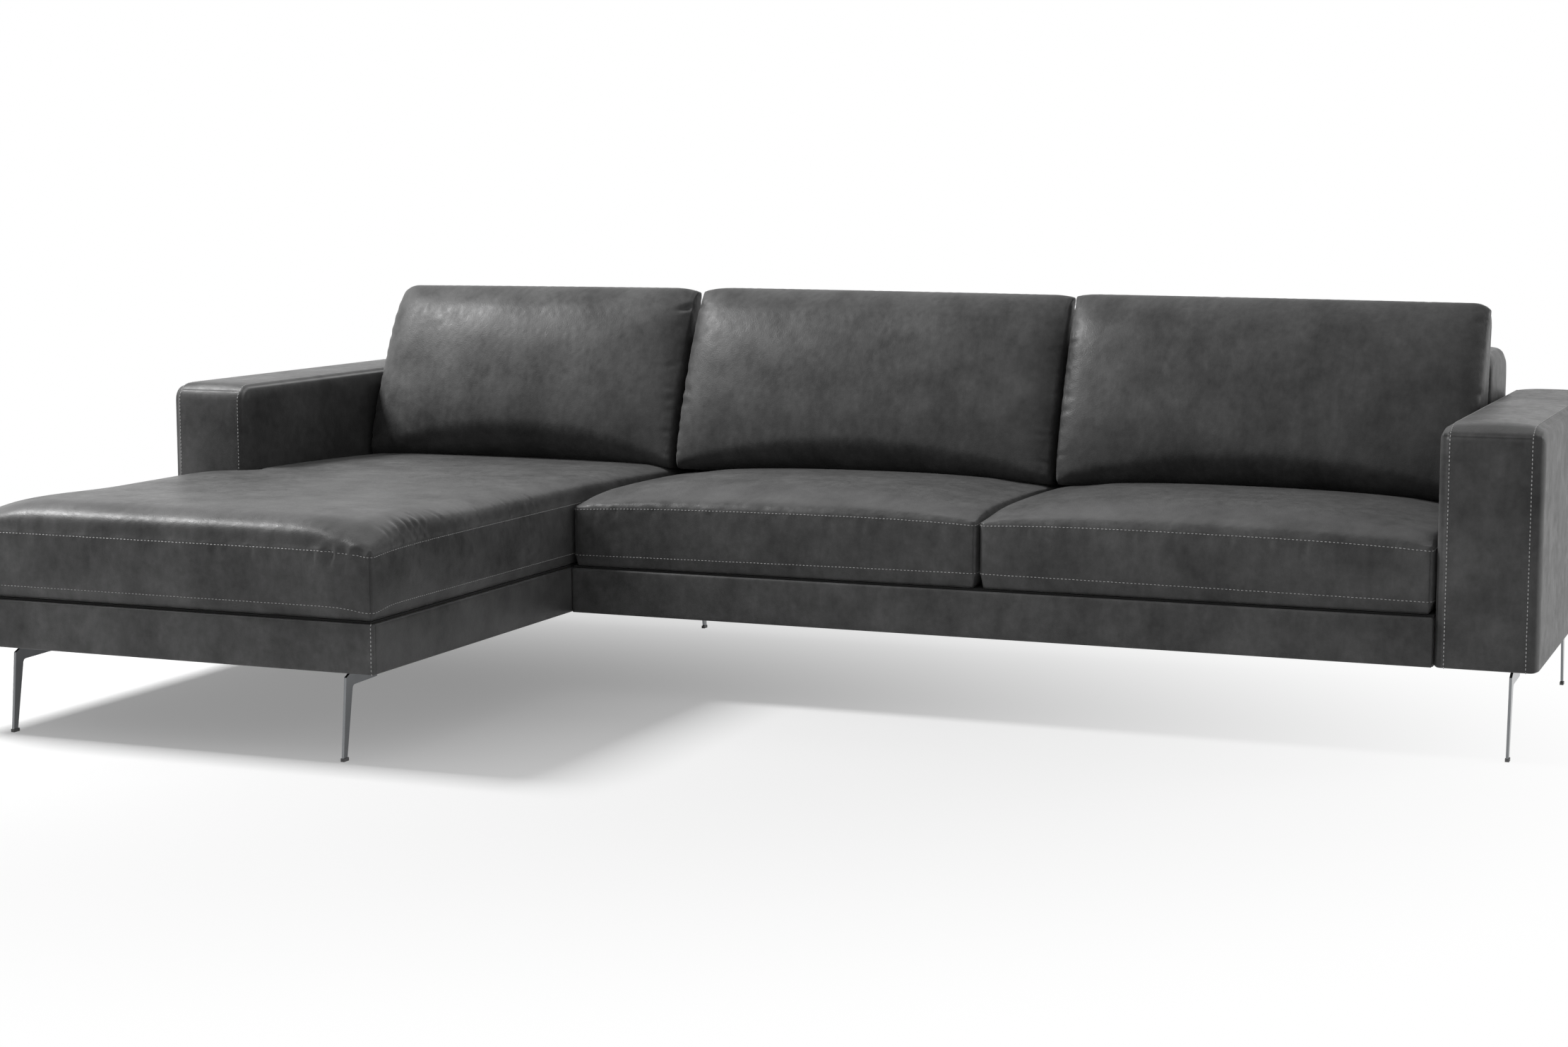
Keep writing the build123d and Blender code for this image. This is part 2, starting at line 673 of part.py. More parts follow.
def cushion_pair(name, outer, core):
    """A cushion's cover with its hollow, and the core that fills the hollow."""
    nodes[name + "_cover"] = outer - offset(core, fit, kind=Kind.INTERSECTION)
    nodes[name + "_core"] = core


core_bottom = cushion_bottom + core_floor
core_top = upper_seam_height - fit
cushion_rear = back_front - soft_gap
for name, x0, x1 in (
    ("left_seat_cushion", junction + soft_gap, seat_split - soft_gap),
    ("right_seat_cushion", seat_split + soft_gap, right_inner - soft_gap),
):
    outer = seat_solid(x0, x1, seat_front, cushion_rear, seat_front + seat_crown_distance, seat_crown_height)
    core = block(x0 + cushion_wall, x1 - cushion_wall, seat_front + cushion_wall,
                 cushion_rear - cushion_wall, core_bottom, core_top)
    cushion_pair(name, outer, core)

# The chaise cushion: a wide front part before the left arm, and a rear part beside it
chaise_x1 = junction - soft_gap
chaise_cut = left_inner + soft_gap
chaise_step = seat_front - soft_gap
chaise_peak = chaise_front + chaise_crown_distance
chaise_front_part = seat_solid(chaise_left, chaise_x1, chaise_front, chaise_step, chaise_peak,
                               chaise_crown_height, whole_rear=cushion_rear)
chaise_rear_part = seat_solid(chaise_left, chaise_x1, chaise_step, cushion_rear, chaise_peak,
                              chaise_crown_height, whole_front=chaise_front, cut_x=chaise_cut)
chaise_core = prism(
    [
        (chaise_left + cushion_wall, chaise_front + cushion_wall),
        (chaise_x1 - cushion_wall, chaise_front + cushion_wall),
        (chaise_x1 - cushion_wall, cushion_rear - cushion_wall),
        (chaise_cut + cushion_wall, cushion_rear - cushion_wall),
        (chaise_cut + cushion_wall, chaise_step - cushion_wall),
        (chaise_left + cushion_wall, chaise_step - cushion_wall),
    ],
    core_bottom,
    core_top,
)
cushion_pair("chaise_cushion", chaise_front_part + chaise_rear_part, chaise_core)


def toward_middle(side, middle, share):
    """A size that grows from a back cushion's side to its middle. Share is 0 at the side, 1 midway."""
    return side + (middle - side) * (1 - (1 - share) ** 2)


def side_front(z):
    """How far a back cushion's front seam stands from the back, at a height along the back."""
    return back_cushion_thickness - (back_cushion_thickness - back_cushion_side_top) * z / back_cushion_height


def back_section(x, draw, height, share):
    """A back cushion's section at x: flat against the back, crowned in front. The front is -Y."""
    top = toward_middle(back_cushion_side_top, back_cushion_middle_top, share) - draw
    crown = toward_middle(back_cushion_side_crown, back_cushion_middle_crown, share)
    under = toward_middle(back_cushion_under_roll, back_cushion_middle_under_roll, share)
    heel = back_cushion_under_roll / 2
    front = draw - back_cushion_thickness
    shoulder = height - top / 2
    points = [
        (x, -draw - heel, draw),
        (x, -draw, draw + heel),
        (x, -draw, shoulder),
        (x, -draw - top, shoulder),
        (x, front, draw + under),
        (x, front + under, draw),
    ]
    soft = roll_softness
    mids = [
        (x, -draw - heel * soft, draw + heel * soft),
        None,
        (x, -draw - top / 2, height),
        (x, (front - draw - top) / 2 - crown, (shoulder + draw + under) / 2),
        (x, front + under * soft, draw + under * soft),
        None,
    ]
    return chain(points, mids)


def back_cushion(name, x0, x1):
    """One back cushion with its core, leaning on the back."""
    width = x1 - x0
    radius = back_cushion_corner_radius
    places = [at for at, _ in end_rolls] + [radius] + [width * share for share in middle_steps]
    places += [width - radius] + [width - at for at, _ in reversed(end_rolls)]
    sections = []
    for place in sorted(places):
        near = min(place, width - place)
        corner = radius - math.sqrt(max(radius ** 2 - max(radius - near, 0) ** 2, 0))
        share = min(1.0, 2 * near / width)
        sections.append(back_section(x0 + place, end_draw(near) / 2, back_cushion_height - corner, share))
    outer = loft(sections, ruled=True)
    wall = back_core_wall
    wedge = Polyline((-wall, wall), (-wall, back_core_height),
                     (wall - side_front(back_core_height), back_core_height),
                     (wall - side_front(wall), wall), close=True)
    inset = wall + radius / 2
    core = Pos(x0 + inset, 0, 0) * extrude(Plane.YZ * make_face(wedge), width - 2 * inset)
    place = Pos(0, back_front, rake_start_height) * Rot(-back_rake, 0, 0)
    seat = Pos(0, -soft_gap, back_cushion_start)
    cushion_pair(name, place * seat * outer, place * seat * core)


# The cushion's bottom clears the seat where the straight part of its underside begins
rest_share = back_cushion_thickness - back_cushion_under_roll + soft_gap
rest_rise = rest_height + 2 * soft_gap - rake_start_height
back_cushion_start = (rest_rise - rest_share * math.sin(rake)) / math.cos(rake)
back_cushion("left_back_cushion", left_inner + soft_gap, junction - soft_gap)
back_cushion("middle_back_cushion", junction + soft_gap, seat_split - soft_gap)
back_cushion("right_back_cushion", seat_split + soft_gap, right_inner - soft_gap)

for name, shape in nodes.items():
    export_step(shape, f"parts/{name}.step")
print(len(nodes), "pieces, overall", overall_width, "x", overall_depth, "mm")
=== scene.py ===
# %% [markdown]
# # A lounge sofa in charcoal nubuck
# The sofa has a chaise on the left, two seats, three loose back cushions, two square arms and slim
# steel feet. Its timber frame, feet and bolts come ready from the CAD model. This lesson makes what
# the eye meets: the sewn leather covers, their seams and stitches, and the finishes.

import math

import bmesh
import bpy
import numpy as np
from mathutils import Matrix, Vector, kdtree


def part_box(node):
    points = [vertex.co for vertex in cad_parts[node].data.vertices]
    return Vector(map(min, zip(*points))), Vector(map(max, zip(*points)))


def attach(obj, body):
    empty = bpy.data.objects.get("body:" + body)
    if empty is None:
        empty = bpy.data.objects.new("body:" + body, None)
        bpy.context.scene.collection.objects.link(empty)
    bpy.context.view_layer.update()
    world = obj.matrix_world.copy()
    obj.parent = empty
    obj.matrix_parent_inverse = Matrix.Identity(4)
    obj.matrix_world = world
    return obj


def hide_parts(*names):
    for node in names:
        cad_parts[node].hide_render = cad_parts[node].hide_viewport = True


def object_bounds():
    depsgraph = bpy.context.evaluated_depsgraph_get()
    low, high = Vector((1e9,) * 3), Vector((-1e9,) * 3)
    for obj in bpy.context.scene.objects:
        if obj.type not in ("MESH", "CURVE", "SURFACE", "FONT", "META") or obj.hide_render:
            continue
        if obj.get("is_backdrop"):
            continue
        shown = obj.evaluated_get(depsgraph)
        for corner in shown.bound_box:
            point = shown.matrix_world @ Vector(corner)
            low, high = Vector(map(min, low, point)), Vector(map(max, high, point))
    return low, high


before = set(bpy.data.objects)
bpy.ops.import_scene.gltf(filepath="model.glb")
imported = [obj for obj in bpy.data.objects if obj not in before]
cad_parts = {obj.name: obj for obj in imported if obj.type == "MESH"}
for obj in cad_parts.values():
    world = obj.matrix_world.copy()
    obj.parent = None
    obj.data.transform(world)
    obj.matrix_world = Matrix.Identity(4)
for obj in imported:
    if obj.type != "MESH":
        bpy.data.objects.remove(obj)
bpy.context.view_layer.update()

# %% [markdown]
# ## Colours and nodes
# Colours are written as sRGB hex values, as a colour picker shows them. Blender mixes light in linear
# values, so one function turns them over. A second one adds a shader node, with its settings and what
# goes into its sockets, and a third starts a material, so that each finish below reads as a recipe.

# %% Helpers for materials
def srgb(code):
    """Linear RGBA of an sRGB hex colour."""
    channels = [int(code[i:i + 2], 16) / 255 for i in (1, 3, 5)]
    linear = [c / 12.92 if c <= 0.04045 else ((c + 0.055) / 1.055) ** 2.4 for c in channels]
    return (*linear, 1.0)


def add_node(owner, kind, inputs=(), **settings):
    """Adds a node to a material or world, sets it, and fills or links its inputs."""
    node = owner.node_tree.nodes.new(kind)
    for name, value in settings.items():
        setattr(node, name, value)
    for socket, value in dict(inputs).items():
        if isinstance(value, bpy.types.NodeSocket):
            owner.node_tree.links.new(value, node.inputs[socket])
        else:
            node.inputs[socket].default_value = value
    return node


def new_material(name, **settings):
    """A material with an empty Principled shader, whose plain settings are put on its own sockets."""
    material = bpy.data.materials.new(name)
    material.use_nodes = True
    shader = material.node_tree.nodes["Principled BSDF"]
    for socket, value in settings.items():
        shader.inputs[socket.replace("_", " ")].default_value = value
    return material, shader


print("helpers ready")

# %% [markdown]
# ## Nubuck leather
# Nubuck is cowhide buffed on its grain side. Buffing gives short nap with a soft sheen, so edges and
# crowns shine a little, and it leaves cloudy patches where the nap lies differently. Handling adds
# streaks and small darker and lighter marks. A picture of leather could be laid on, but it would
# repeat and bring its own light along, so four computed patterns at real sizes make this: clouds about
# 110 mm wide, brushed streaks 16 mm wide and more than twice as long, marks about 20 mm wide, and a
# pebbled grain. Real grain is under 1 mm, too fine to show from across a room, so it is drawn at 2.4 mm.

# %% Mix the leather
leather, shader = new_material("charcoal_nubuck_leather", Sheen_Weight=0.10, Sheen_Roughness=0.45)
place = add_node(leather, "ShaderNodeTexCoord").outputs["Object"]
brushed = add_node(leather, "ShaderNodeMapping",
                   {"Vector": place, "Rotation": (math.radians(20), 0.0, math.radians(35)),
                    "Scale": (1.0, 0.45, 0.4)})
clouds = add_node(leather, "ShaderNodeTexNoise",
                  {"Vector": place, "Scale": 1 / 0.11, "Detail": 6.0, "Roughness": 0.62}).outputs["Fac"]
streaks = add_node(leather, "ShaderNodeTexNoise",
                   {"Vector": brushed.outputs["Vector"], "Scale": 1 / 0.016, "Detail": 4.0,
                    "Distortion": 0.6}).outputs["Fac"]
marks = add_node(leather, "ShaderNodeTexNoise",
                 {"Vector": place, "Scale": 1 / 0.020, "Detail": 5.0, "Roughness": 0.7}).outputs["Fac"]
grain = add_node(leather, "ShaderNodeTexVoronoi",
                 {"Vector": place, "Scale": 1 / 0.0024}).outputs["Distance"]
worn = add_node(leather, "ShaderNodeMix", {"Factor": 0.6, "A": streaks, "B": marks},
                data_type="FLOAT").outputs["Result"]
# noise stays near its middle, so only that part is spread out
cloud_range = {"Value": clouds, "From Min": 0.33, "From Max": 0.67}
worn_range = {"Value": worn, "From Min": 0.35, "From Max": 0.65}
# cloudy patches, where the nap lies one way or the other
patches = add_node(leather, "ShaderNodeMapRange", cloud_range)
cloud_tone = add_node(leather, "ShaderNodeMix",
                      {"Factor": patches.outputs["Result"], "A": srgb("#3c3c3c"), "B": srgb("#505050")},
                      data_type="RGBA")
# streaks and marks make each patch uneven in tone and in shine
uneven = add_node(leather, "ShaderNodeMapRange", {**worn_range, "To Min": 0.80, "To Max": 1.22})
tone = add_node(leather, "ShaderNodeMix",
                {"Factor": 1.0, "A": cloud_tone.outputs["Result"], "B": uneven.outputs["Result"]},
                data_type="RGBA", blend_type="MULTIPLY")
shine = add_node(leather, "ShaderNodeMapRange", {**worn_range, "To Min": 0.35, "To Max": 0.52})
# the cloudy patches differ in gloss too, which shows most on the tops, seen at a low angle
gloss = add_node(leather, "ShaderNodeMapRange", {**cloud_range, "To Min": 0.17, "To Max": 0.29})
# grain and marks catch the light at the edges of the highlights
height = add_node(leather, "ShaderNodeMix", {"Factor": 0.4, "A": worn, "B": grain}, data_type="FLOAT")
bump = add_node(leather, "ShaderNodeBump",
                {"Height": height.outputs["Result"], "Strength": 0.33, "Distance": 0.0013})
links = leather.node_tree.links
links.new(tone.outputs["Result"], shader.inputs["Base Color"])
links.new(shine.outputs["Result"], shader.inputs["Roughness"])
links.new(gloss.outputs["Result"], shader.inputs["Specular IOR Level"])
links.new(bump.outputs["Normal"], shader.inputs["Normal"])
print("made", leather.name)

# %% [markdown]
# ## Thread, steel, timber and cloths
# The seams are sewn with a grey polyester thread, a little lighter than the leather. The feet are
# polished steel with a dark chrome plating. The frame inside is plain birch, and black non-woven
# cloth closes the bottom. Each could have one plain colour, but no real surface is quite even, so one
# function lets the colour drift between two tones over patches of a real size. On the thread that
# drift is painted glints, and on the feet a painted reflection.

# %% Mix the other finishes
def drifting(name, dark, light, size, squeeze=(1, 1, 1), **settings):
    """A finish whose colour drifts between two tones over patches of the given size, which can be
    squeezed along an axis."""
    material, shader = new_material(name, **settings)
    place = add_node(material, "ShaderNodeTexCoord").outputs["Object"]
    squeezed = add_node(material, "ShaderNodeMapping", {"Vector": place, "Scale": squeeze})
    patches = add_node(material, "ShaderNodeTexNoise",
                       {"Vector": squeezed.outputs["Vector"], "Scale": 1 / size, "Detail": 3.0})
    tone = add_node(material, "ShaderNodeMix",
                    {"Factor": patches.outputs["Fac"], "A": srgb(dark), "B": srgb(light)}, data_type="RGBA")
    material.node_tree.links.new(tone.outputs["Result"], shader.inputs["Base Color"])
    return material


# painted glints: each stitch is painted lighter or darker, as the twist of the yarn catches the light, so a
# row glints unevenly
thread = drifting("grey_polyester_thread", "#8c8c8c", "#d6d6d6", 0.009, Roughness=0.6)
# painted reflection: the tone drifts lighter for the white room it mirrors and darker for the dark sofa
# above, with faint smears from wiping
chrome = drifting("dark_chrome_with_painted_reflection", "#6f7173", "#87898b", 0.05, Metallic=1.0, Roughness=0.18)
# the cloudy dull grey of fasteners
zinc = drifting("zinc_plated_steel", "#a2a4a6", "#c2c4c6", 0.008, Metallic=1.0, Roughness=0.4)
# a dull grey with a trace of wear
plastic = drifting("grey_moulded_polyamide", "#5e5e5e", "#727272", 0.004, Roughness=0.55)
# coarse brown bands under the cushions
webbing = drifting("elastic_webbing", "#4e4032", "#665443", 0.003, Roughness=0.9)
# pressed fibres that swallow nearly all light
lining = drifting("black_nonwoven_cloth", "#111111", "#1c1c1c", 0.005, Roughness=0.95)
# pale wood with long level streaks
birch = drifting("planed_birch", "#c9a878", "#e2c79a", 0.06, (1, 1, 12), Roughness=0.6)

# the end of a node's name tells its finish, and the rest is timber
finish_of_ending = (("dust_cover", lining), ("cover", leather), ("core", lining), ("deck", lining),
                    ("straps", webbing), ("foot", chrome), ("glides", plastic), ("screws", zinc),
                    ("bolts", zinc), ("", birch))
for name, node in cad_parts.items():
    finish = next(finish for ending, finish in finish_of_ending if name.endswith(ending))
    node.data.materials.clear()
    node.data.materials.append(finish)
print("finished", len(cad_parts), "CAD nodes")

# %% [markdown]
# ## Sewn boxes
# Every cover on this sofa is sewn from flat panels like a box, and the padding swells each panel
# between its seams. A lump could be sculpted instead, but it would have no seams to sew along. So
# each piece starts as a cube whose edges are the seams. The cube is cut into
# rows, close together beside the seams, where the leather rolls over, and wider apart in the middle.

# %% Helpers that cut a cube into rows
def rows(start, end, step=0.010, beside=(0.003, 0.0065, 0.011, 0.017)):
    """Places of vertex rows between two seams: close beside both, then at even steps."""
    low, high = start + beside[-1], end - beside[-1]
    count = max(2, round((high - low) / step))
    near = np.array((0.0, *beside[:-1]))
    return np.concatenate([start + near, np.linspace(low, high, count + 1), end - near[::-1]])


def pick(piece, kind, test):
    """Selects the edges or faces that pass the test, and nothing else. The piece is in edit mode."""
    bpy.ops.mesh.select_all(action="DESELECT")
    for item in getattr(bmesh.from_edit_mesh(piece.data), kind):
        if test(item):
            item.select_set(True)
    bmesh.update_edit_mesh(piece.data)


def points_of(piece):
    """The piece's vertices as an array."""
    found = np.empty(len(piece.data.vertices) * 3)
    piece.data.vertices.foreach_get("co", found)
    return found.reshape(-1, 3)


def move_points(piece, points):
    """Puts the piece's vertices at new places."""
    piece.data.vertices.foreach_set("co", np.ascontiguousarray(points, dtype=float).ravel())
    piece.data.update()


def sewn_box(name, x_bays, y_bays, z_rows):
    """A cube cut into rows at the given places. Two bays along X and Y make it an L in plan."""
    bpy.ops.object.select_all(action="DESELECT")
    bpy.ops.mesh.primitive_cube_add(size=1.0, location=(0.5, 0.5, 0.5))
    piece = bpy.context.object
    piece.name = piece.data.name = name
    bpy.ops.object.transform_apply(location=True, rotation=False, scale=False)
    bpy.ops.object.mode_set(mode="EDIT")
    bpy.ops.mesh.select_mode(type="FACE")
    if len(x_bays) == 2:
        pick(piece, "faces", lambda face: face.normal.x > 0.9)
        bpy.ops.mesh.extrude_region_move(TRANSFORM_OT_translate={"value": (1, 0, 0)})
        pick(piece, "faces", lambda face: face.normal.y > 0.9 and face.calc_center_median().x > 1)
        bpy.ops.mesh.extrude_region_move(TRANSFORM_OT_translate={"value": (0, 1, 0)})
    bpy.ops.mesh.select_mode(type="EDGE")
    axes = (x_bays, y_bays, [z_rows])
    for axis, bays in enumerate(axes):
        for bay, places in enumerate(bays):
            def crosses(edge):
                a, b = (end.co[axis] for end in edge.verts)
                return abs(a - b) > 0.5 and bay < (a + b) / 2 < bay + 1

            pick(piece, "edges", crosses)
            bpy.ops.mesh.subdivide(number_cuts=len(places) - 2)
    bpy.ops.object.mode_set(mode="OBJECT")
    points = points_of(piece)
    for axis, bays in enumerate(axes):
        even = np.concatenate([bay + np.linspace(0, 1, len(places)) for bay, places in enumerate(bays)])
        points[:, axis] = np.interp(points[:, axis], even, np.concatenate(bays))
    move_points(piece, points)
    return piece


print("row places of a 0.1 m panel", np.round(rows(0, 0.1), 4))

# %% [markdown]
# Each panel swells along its own normal. Beside a seam it rolls up quickly, like a quarter circle,
# and further in it is level. The distance from the nearest seam tells how far along that roll a
# vertex is, and a search tree of the seam vertices gives it.

# %% Helpers that swell the panels
SIDES = {"left": (-1, 0, 0), "right": (1, 0, 0), "front": (0, -1, 0), "rear": (0, 1, 0),
         "bottom": (0, 0, -1), "top": (0, 0, 1)}
SOFT_HOLD = 0.55


def panels_of(piece, joined=()):
    """For each vertex and each side of a box, whether the vertex is on a panel of that side.
    Joined sides are one panel that goes round an edge, so that edge is no seam."""
    mesh = piece.data
    on = {side: np.zeros(len(mesh.vertices), bool) for side in SIDES}
    for face in mesh.polygons:
        side = max(SIDES, key=lambda s: face.normal.dot(Vector(SIDES[s])))
        on[side][list(face.vertices)] = True
    groups = [[side] for side in SIDES if side not in joined] + ([list(joined)] if joined else [])
    count = sum(np.any([on[s] for s in group], axis=0).astype(int) for group in groups)
    return on, count > 1


def tree_of(places):
    """A search tree of the given places."""
    tree = kdtree.KDTree(len(places))
    for index, place in enumerate(places):
        tree.insert(place, index)
    tree.balance()
    return tree


def seam_distance(points, on_panel, on_seam):
    """How far each vertex of a panel is from that panel's nearest seam, and the way in from there."""
    tree = tree_of(points[on_panel & on_seam])
    far = np.zeros(len(points))
    way = np.zeros((len(points), 3))
    for index in np.flatnonzero(on_panel & ~on_seam):
        near, _, far[index] = tree.find(points[index])
        way[index] = (points[index] - np.array(near)) / max(far[index], 1e-9)
    return far, way


def roll(distance, width, power=2.0):
    """A quarter-circle rise from 0 at the seam to 1 at the given width. A higher power is squarer."""
    share = np.clip(distance / width, 0, 1)
    return (1 - (1 - share) ** power) ** (1 / power)


def arch(distance, width):
    """A slower rise, like half a parabola, from 0 at the seam to 1 at the given width."""
    return 1 - (1 - np.clip(distance / width, 0, 1)) ** 2


def smooth(value, low, high):
    """0 below low, 1 above high and a smooth step between."""
    share = np.clip((value - low) / (high - low), 0, 1)
    return share * share * (3 - 2 * share)


def name_row(piece, name, chosen, weight=1.0):
    """Keeps some vertices as a named group, or adds them to it."""
    group = piece.vertex_groups.get(name) or piece.vertex_groups.new(name=name)
    group.add([int(i) for i in np.flatnonzero(chosen)], weight, "REPLACE")


def hold(piece, seam, firm):
    """Names what the simulation holds: seams and firm faces fully, the rest softly."""
    name_row(piece, "held", ~seam, SOFT_HOLD)
    name_row(piece, "held", seam | firm)
    name_row(piece, "seam", seam)


def select_only(piece):
    """Selects one piece and makes it the active one."""
    bpy.ops.object.select_all(action="DESELECT")
    bpy.context.view_layer.objects.active = piece
    piece.select_set(True)


def finish_mesh(piece):
    """One subdivision, applied, and smooth shading."""
    select_only(piece)
    bpy.ops.object.modifier_add(type="SUBSURF")
    piece.modifiers[-1].levels = piece.modifiers[-1].render_levels = 1
    bpy.ops.object.modifier_apply(modifier=piece.modifiers[-1].name)
    bpy.ops.object.shade_smooth()


print("sides", list(SIDES))

# %% [markdown]
# ## Seat cushions
# Each seat is a boxed cushion: a top panel, a boxing strip round the sides with a seam above and
# below, and a bottom panel. The top is crowned, fullest a little behind the front edge, and falls to
# the rear, where the back cushion rests on it. Each side of the top has a roll of its own, and where
# two rolls meet at a corner they are multiplied, which draws the corner down softly as sewing does.
# The filling also lifts the seams between the corners, so they bow upwards. The bottom is open here
# and closed at the end, since nothing of it moves.

# %% Shape the seat cushions
SEAM_LOW, SEAM_HIGH = 0.277, 0.382  # heights of the two seams of the boxing
BESIDE_SEAM = 0.0065  # from a seam to its row of stitches
LEATHER_GAP = 0.0008  # left free beside a neighbour
BOX_SIDES = ("left", "right", "front", "rear")
BOX_CORNER = 0.008  # radius of its corners in plan
BOX_SWELL, BOX_ROLL = 0.0045, 0.030  # how far it swells, and over what width
UNDER_DROP, UNDER_ROLL = 0.0165, 0.014  # the bottom below its seam, and its roll
FALL_START, FALL_END = 0.09, 0.45  # where the front roll gets lower
OVERHANG, OVERHANG_WIDTH = 0.003, 0.034  # of the top over its seam
DIP_WIDTH = 0.045  # of the lower seam at a corner
PUFF_INSET, PUFF_WIDTH = 0.06, 0.045


def round_edges(y, z, y_front, y_back, z_low, z_high, radii):
    """Rounds the corners of a section. Radii: front top, back top, back bottom, front bottom."""
    y, z = y.copy(), z.copy()
    for radius, at_back, at_top in zip(radii, (0, 1, 1, 0), (1, 1, 0, 0)):
        centre_y = y_back - radius if at_back else y_front + radius
        centre_z = z_high - radius if at_top else z_low + radius
        a = (y - centre_y) * (1 if at_back else -1)
        b = (z - centre_z) * (1 if at_top else -1)
        inside = (a > 0) & (b > 0)
        shrink = np.where(inside, np.maximum(a, b) / np.maximum(np.hypot(a, b), 1e-9), 1.0)
        y = np.where(inside, centre_y + (y - centre_y) * shrink, y)
        z = np.where(inside, centre_z + (z - centre_z) * shrink, z)
    return y, z


def seat_cushion(name, x_places, y_places, form):
    """A boxed seat cushion before it settles. Places are its seam lines in plan, front to rear."""
    x_bays = [rows(a, b) for a, b in zip(x_places, x_places[1:])]
    y_bays = [rows(a, b, 0.0085) for a, b in zip(y_places, y_places[1:])]
    piece = sewn_box(name, x_bays, y_bays, rows(SEAM_LOW, SEAM_HIGH))
    points = points_of(piece)
    on, seam = panels_of(piece)
    boxing = np.any([on[side] for side in BOX_SIDES], axis=0)
    name_row(piece, "upper_stitch", boxing & (abs(points[:, 2] - (SEAM_HIGH - BESIDE_SEAM)) < 1e-5))
    name_row(piece, "lower_stitch", boxing & (abs(points[:, 2] - (SEAM_LOW + BESIDE_SEAM)) < 1e-5))
    x0, x1, y0, y1 = x_places[0], x_places[-1], y_places[0], y_places[-1]
    x, y, z = points.T
    column = boxing & (x > x1 - 1e-6) & (y < y0 + 1e-6)
    points[:, 0], points[:, 1] = round_edges(x, y, x0, x1, y0, y1, [BOX_CORNER] * 4)
    swollen = points.copy()
    for side in BOX_SIDES:
        far, _ = seam_distance(points, on[side], seam)
        swollen += np.outer(BOX_SWELL * roll(far, BOX_ROLL), SIDES[side])
    far, _ = seam_distance(points, on["bottom"], seam)
    swollen[:, 2] -= UNDER_DROP * roll(far, UNDER_ROLL, 4.0)
    # the rolls of the top along its four sides, lower at the rear and wide at an outer end
    from_side = {side: seam_distance(points, on["top"], seam & on[side])[0] for side in BOX_SIDES}
    share, quick, power, slow = form["front"]
    rise = share * roll(from_side["front"], quick, power) + (1 - share) * arch(from_side["front"], slow)
    outer, left, right, rear = form["sides"]
    rise = rise * roll(x - x0, outer)
    for side, width in (("left", left), ("right", right), ("rear", rear)):
        rise = rise * roll(from_side[side], width)
    # near a corner with little filling the top is lower
    to_corner = np.hypot(x - x1, y - y0)
    fill = 1 - 0.8 * np.exp(-(np.hypot(x - x0, y - y0) / form["slack"][0]) ** 2)
    fill = fill * (1 - 0.5 * np.exp(-(to_corner / form["slack"][1]) ** 2))
    crest_y = y0 + form["crest"]
    before = np.clip((crest_y - y) / (crest_y - y0), 0, 1)
    behind = np.clip((y - crest_y) / (y1 - crest_y), 0, 1)
    fall = 1 - form["fall"] * smooth(y, y0 + FALL_START, y0 + FALL_END)
    swollen[:, 2] += form["roll"] * rise * fill * fall * (1 - 0.5 * behind ** 2)
    # the crown, an arch across the cushion and along it
    off_middle = np.abs((2 * x - x0 - x1) / (x1 - x0))
    across = 1 - off_middle ** 2.6
    along = 1 - before ** 2.4 - 0.62 * behind ** 1.8
    inside = np.min([from_side[side] for side in ("left", "right", "rear")], axis=0)
    swollen[:, 2] += form["crown"] * across * along * fill * smooth(inside, 0.0, 0.14)
    # the top leans out a little over its seam
    far, way = seam_distance(points, on["top"], seam)
    swollen -= way * (OVERHANG * np.sin(np.pi * np.clip(far / OVERHANG_WIDTH, 0, 1)))[:, None]
    # the seams bow up between the corners, and the lower one dips at a corner that is drawn in
    height = np.clip((z - SEAM_LOW) / (SEAM_HIGH - SEAM_LOW), 0, 1)
    corner = off_middle * np.abs((2 * y - y0 - y1) / (y1 - y0))
    swollen[:, 2] += form["bow"] * (1 - corner ** form["evenness"]) * height
    swollen[:, 2] -= form["dip"] * np.exp(-(to_corner / DIP_WIDTH) ** 2) * (1 - height) * boxing
    # one end can sit higher than the other, and the right front corner of the top can be puffed up
    left_lift, right_lift = form["lifts"]
    swollen[:, 2] += (left_lift + (right_lift - left_lift) * (x - x0) / (x1 - x0)) * (boxing | on["top"])
    puff = np.exp(-(np.hypot(x - x1 + PUFF_INSET, y - y0 - PUFF_INSET) / PUFF_WIDTH) ** 2)
    swollen[:, 2] += form["puff"] * puff * on["top"] * ~seam
    # the boxing can be sewn together at the right front corner
    swollen[column, 0] -= form["corner_seam"]
    swollen[column, 1] += form["corner_seam"]
    move_points(piece, swollen)
    hold(piece, seam, on["bottom"] | column)
    # the bottom panel is taken out inside its roll
    bpy.ops.object.mode_set(mode="EDIT")
    bpy.ops.mesh.select_mode(type="FACE")
    flat = SEAM_LOW - UNDER_DROP + 0.0001
    pick(piece, "faces", lambda face: face.normal.z < -0.99 and face.calc_center_median().z < flat)
    bpy.ops.mesh.delete(type="FACE")
    bpy.ops.object.mode_set(mode="OBJECT")
    return piece


EDGE = 0.0055  # from the side of a cushion's solid in to its seams
